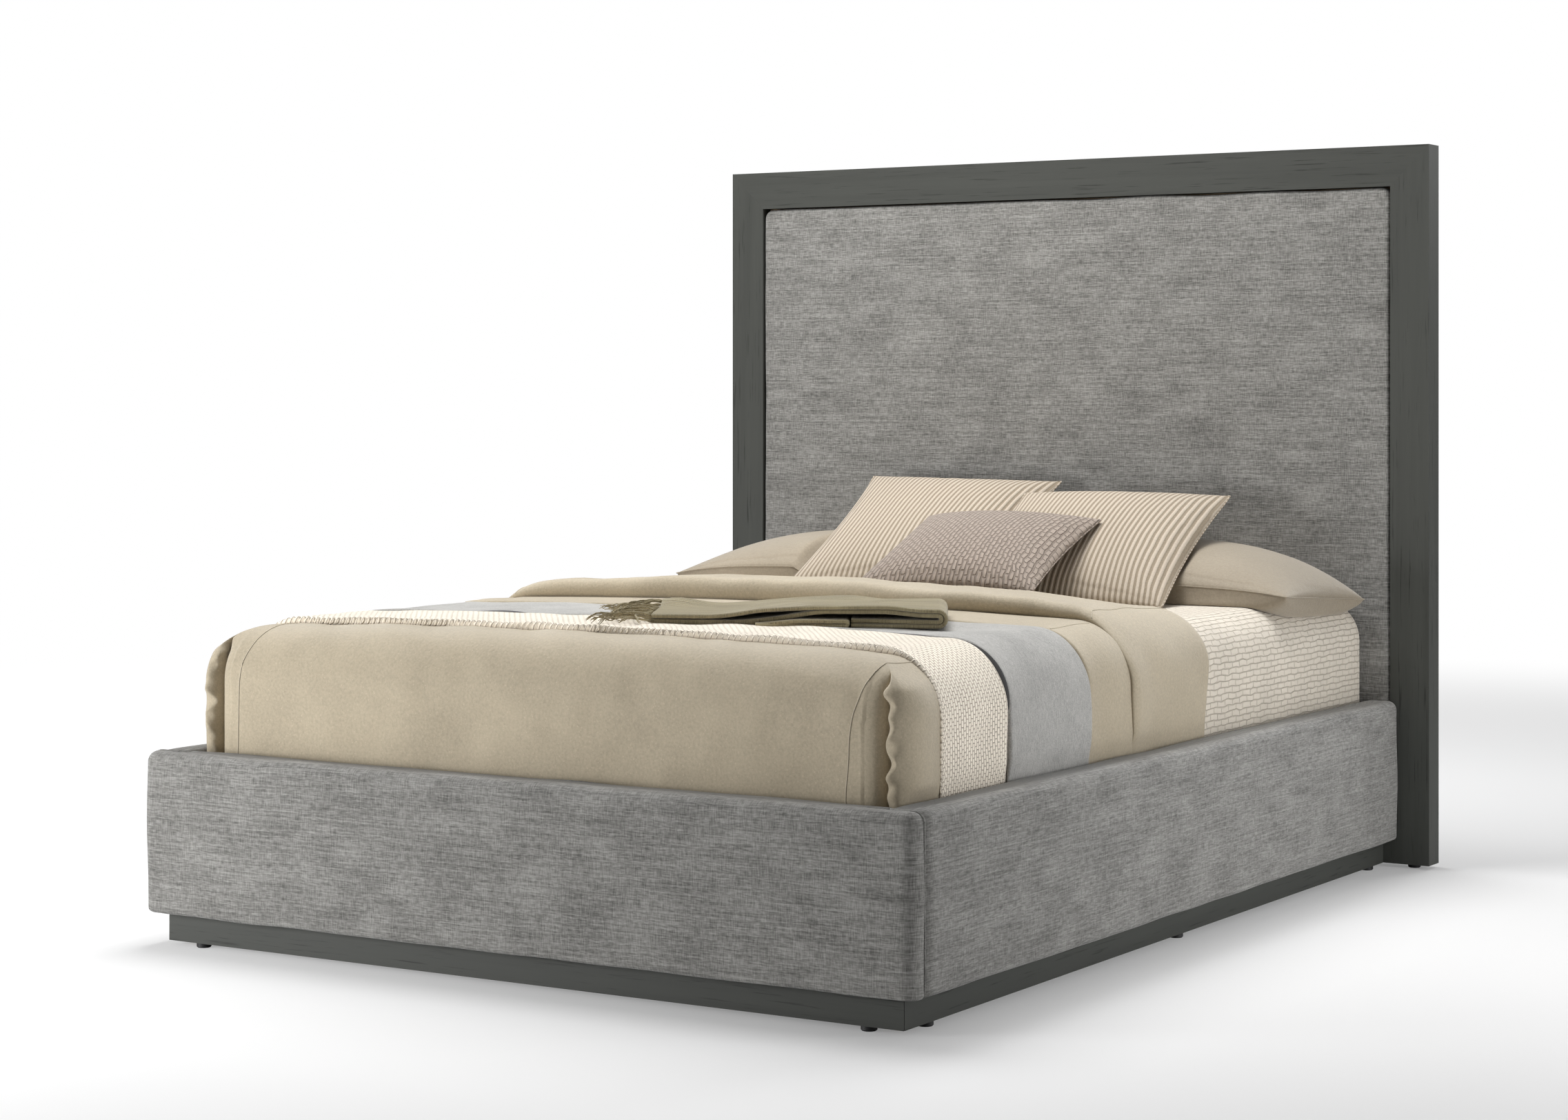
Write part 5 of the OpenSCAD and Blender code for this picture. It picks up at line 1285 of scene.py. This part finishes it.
# Folded throw: the top runs from left to bend; rise is half the height at the bend, ply the cloth's
# thickness, outer and inner how far each ply stands off the mid line, and backTo where both end underneath
throwLook = {"place": (0.271, -0.5295, 0.6307), "turn": 29, "roll": 0.8, "left": -0.2725, "bend": 0.2545,
             "rise": 0.0125, "half": 0.1425, "ply": 0.0078, "outer": 0.0016, "inner": -0.0066,
             "backTo": 0.095, "wave": 0.0032, "peak": 0.015, "leftHigh": 0.0085, "leftLow": -0.0003}
tuckLook = {"left": -0.080, "right": 0.085, "radius": 0.0040, "drop": 0.0020, "ply": 0.0072, "shift": -0.012}


def throwPath(offset, lowEnd, under):
    # Mid line seen from the near edge: along the top by smooth steps from the left end, round the bend's half
    # circle and back underneath; under holds the lower ply near the bed until it climbs over the tucked end
    look = throwLook
    x = np.linspace(look["left"], look["bend"], 100)
    high = look["leftHigh"] + (2 * look["rise"] - look["leftHigh"]) * smooth(x, -0.18, 0.03)
    low = look["leftLow"] + (2 * look["rise"] + offset - look["leftLow"]) * smooth(x, -0.13, 0.055)
    z = low if under else high + offset
    a = np.linspace(np.pi / 2, -np.pi / 2, 17)[1:]
    radius = look["rise"] + offset
    bend = np.stack([look["bend"] + radius * np.cos(a), look["rise"] + radius * np.sin(a)], -1)
    lower = np.stack([np.linspace(look["bend"], lowEnd, 30)[1:], np.full(29, -offset)], -1)
    path = np.concatenate([np.stack([x, z], -1), bend, lower])
    along = np.gradient(path, axis=0)
    along /= np.linalg.norm(along, axis=1, keepdims=True)
    return path, np.stack([-along[:, 1], along[:, 0]], -1)


def throwSoft(x, y, z):
    # Slack in the upper plies: sums of sines for slanting waves, and a
    # bell curve in x and y for a high crease near the far left corner
    look = throwLook
    gate = smooth(z, 0.006, 0.020) * smooth(look["bend"] - x, -0.004, 0.10)
    waves = look["wave"] * (softWaves(x, y, 0.26, 71, 5) + 0.35 * softWaves(x, y, 0.11, 72, 5))
    crease = look["peak"] * np.exp(-((x + 0.245) / 0.055) ** 2 - ((y - 0.095 - 0.25 * (x + 0.245)) / 0.034) ** 2)
    return gate * np.maximum(waves + 0.0015, -0.002) + crease * smooth(z, -0.002, 0.012)


def intoThrow(points):
    # Points of the throw turned about z, tipped about y and moved to its place
    look = throwLook
    c, s = math.cos(math.radians(look["turn"])), math.sin(math.radians(look["turn"]))
    tip = math.radians(look["roll"])
    turned = points @ np.array([(c, -s, 0), (s, c, 0), (0, 0, 1)]).T
    tipping = np.array([(math.cos(tip), 0, math.sin(tip)), (0, 1, 0), (-math.sin(tip), 0, math.cos(tip))])
    return turned @ tipping.T + np.array(look["place"])


def plySection(halfWidth, thick, count=40):
    # Flat ply with edges rolled in half circles, as (across, off the mid line)
    a = np.linspace(np.pi / 2, -np.pi / 2, 7)
    inner = halfWidth - thick / 2
    flatTop = np.stack([np.linspace(-inner, inner, count), np.full(count, thick / 2)], -1)[:-1]
    right = np.stack([inner + thick * 0.5 * np.cos(a), thick * 0.5 * np.sin(a)], -1)
    side = np.concatenate([flatTop, right])
    return np.concatenate([side, -side])


def ply(name, path, normal, halfWidth, thick, shift=0.0, soft=True, seed=0, fuller=1.0):
    # The section carried along the mid line: the path plus the section's off times the
    # normal, as wide as its across times a slow sum of sines, with the slack added to z
    section = plySection(halfWidth, thick)
    off = section[None, :, 1, None] * normal[:, None, :] * np.broadcast_to(fuller, len(path))[:, None, None]
    plane = path[:, None, :] + off
    run = runLength(path)
    edge = 1 + 0.016 * softWaves(run, 0 * run, 0.30, 80 + seed)
    across = section[None, :, 0] * edge[:, None] + shift
    x, z = plane[..., 0], plane[..., 1]
    if soft:
        z = z + throwSoft(path[:, None, 0] + 0 * across, across, path[:, None, 1] + 0 * across)
    points = intoThrow(np.stack([x, np.broadcast_to(across, x.shape), z], -1))
    uvAcross = np.concatenate([section[:, 0], section[:1, 0]])
    uv = np.stack(np.broadcast_arrays(run[:, None], uvAcross[None, :]), -1)
    obj = tidyMesh(gridObject(name, points, uv, joined=True))
    return obj, (2 * halfWidth, run[-1])


# Painted light: the second knit is the same knit 1.4 times lighter, for the tucked roll that faces the lamps; the
# fringe wears the same copy
knit, litKnit = oliveKnit("oliveKnit"), oliveKnit("oliveKnitLit", 1.4)
outerPath, outerNormal = throwPath(throwLook["outer"], throwLook["backTo"], False)
innerPath, innerNormal = throwPath(throwLook["inner"], throwLook["backTo"], True)
outerPly, outerFlat = ply("throwOuterPly", outerPath, outerNormal, throwLook["half"], throwLook["ply"])
fuller = 1 + 0.28 * (1 - smooth(innerPath[:, 0], -0.10, 0.03)) * (np.arange(len(innerPath)) < 100)
innerPly, innerFlat = ply("throwInnerPly", innerPath, innerNormal, throwLook["half"] - 0.003, throwLook["ply"], 0.001,
                          seed=1, fuller=fuller)


def tuckedPath():
    # Mid line of the tucked end: along the bed under a smooth step, round half a circle and back
    look = tuckLook
    x = np.linspace(look["left"], look["right"], 30)
    over = np.stack([x, 2 * look["radius"] * smooth(x, -0.090, 0.010)], -1)[:-1]
    a = np.linspace(np.pi / 2, -np.pi / 2, 13)
    bend = np.stack([look["right"] + look["radius"] * np.cos(a), look["radius"] + look["radius"] * np.sin(a)], -1)
    path = np.concatenate([over, bend, over[::-1] * [1, 0]])
    path[:, 1] -= look["drop"]
    along = np.gradient(path, axis=0)
    along /= np.linalg.norm(along, axis=1, keepdims=True)
    return path, np.stack([-along[:, 1], along[:, 0]], -1)


tuckPath, tuckNormal = tuckedPath()
tuckedEnd, tuckedFlat = ply("throwTuckedEnd", tuckPath, tuckNormal, throwLook["half"] - 0.001, tuckLook["ply"],
                            tuckLook["shift"], soft=False, seed=2)
# The tucked end wears the lighter copy: painted light on its roll
for piece, cloth in ((outerPly, knit), (innerPly, knit), (tuckedEnd, litKnit)):
    dress(piece, "throw", cloth, ["throw_blanket"])


# Tassels on each ply, their lengths, spread and curl in radians, and how high the loose ones stand off the bed
fringeLook = {"tassels": 15, "span": (-0.136, 0.272), "jitter": 0.003, "length": (0.095, 0.140), "upperShare": 0.85,
              "lean": -0.45, "spread": 0.30, "curl": 0.20, "heave": (0.014, 0.008), "twists": 2.2,
              "splay": (0.0011, 0.0035)}


def fringe():
    # Tassels of three twisted strands from both plies' left ends: the centre line adds up steps at a
    # wandering angle and falls by a smooth step to the bed, and a strand circles it by cosine and sine
    look = fringeLook
    rng = np.random.default_rng(7)
    strands = []
    steps = np.linspace(0, 1, 15)
    for tier, high in ((0, throwLook["leftHigh"] + throwLook["outer"]), (1, throwLook["leftLow"])):
        for k in range(look["tassels"]):
            start = look["span"][0] + look["span"][1] * k / (look["tassels"] - 1) + rng.normal(0, look["jitter"])
            length = rng.uniform(*look["length"]) * (1 if tier else look["upperShare"])
            curl = np.cumsum(rng.normal(0, look["curl"], len(steps))) * steps
            angle = curl + rng.normal(look["lean"] * tier, look["spread"])
            move = np.stack([-np.cos(angle), np.sin(angle)], -1) * length / (len(steps) - 1)
            centre = np.array([throwLook["left"], start]) + np.concatenate([[(0, 0)], np.cumsum(move, 0)[:-1]])
            peak = throwSoft(np.array(throwLook["left"]), np.array(start), np.array(high))
            heave = rng.uniform(0.0, look["heave"][0]) * np.sin(np.pi * steps)
            heave = heave + rng.uniform(0, look["heave"][1]) * steps
            z = (high + peak) * (1 - smooth(steps, 0.05, 0.75)) + heave
            for strand in range(3):
                spin = 2 * np.pi * (strand / 3 + look["twists"] * steps) + rng.uniform(0, 6)
                splay = look["splay"][0] + look["splay"][1] * smooth(steps, 0.45, 1.0) * rng.uniform(0.4, 1.6)
                offset = splay[:, None] * np.stack([0.3 * np.cos(spin), np.cos(spin), np.sin(spin)], -1)
                local = np.concatenate([centre, z[:, None]], 1) + offset
                world = intoThrow(local)
                under = np.where(world[:, 1] < -0.650, 0.6270, 0.6235)  # tops of the waffle and the grey blanket
                world[:, 2] = np.maximum(world[:, 2], under + 0.0013)
                size = np.interp(steps, [0, 0.03, 0.07, 0.12, 0.9, 1],
                                 [0.0012, 0.0022, 0.0021, 0.0012, 0.0011, 0.0004])
                strands.append(tubeAlong("strand", world, size, 5))
    return joinObjects("throwFringe", strands)


tassels = fringe()
dress(tassels, "throw", litKnit, ["throw_fringe"])
print("throw made")
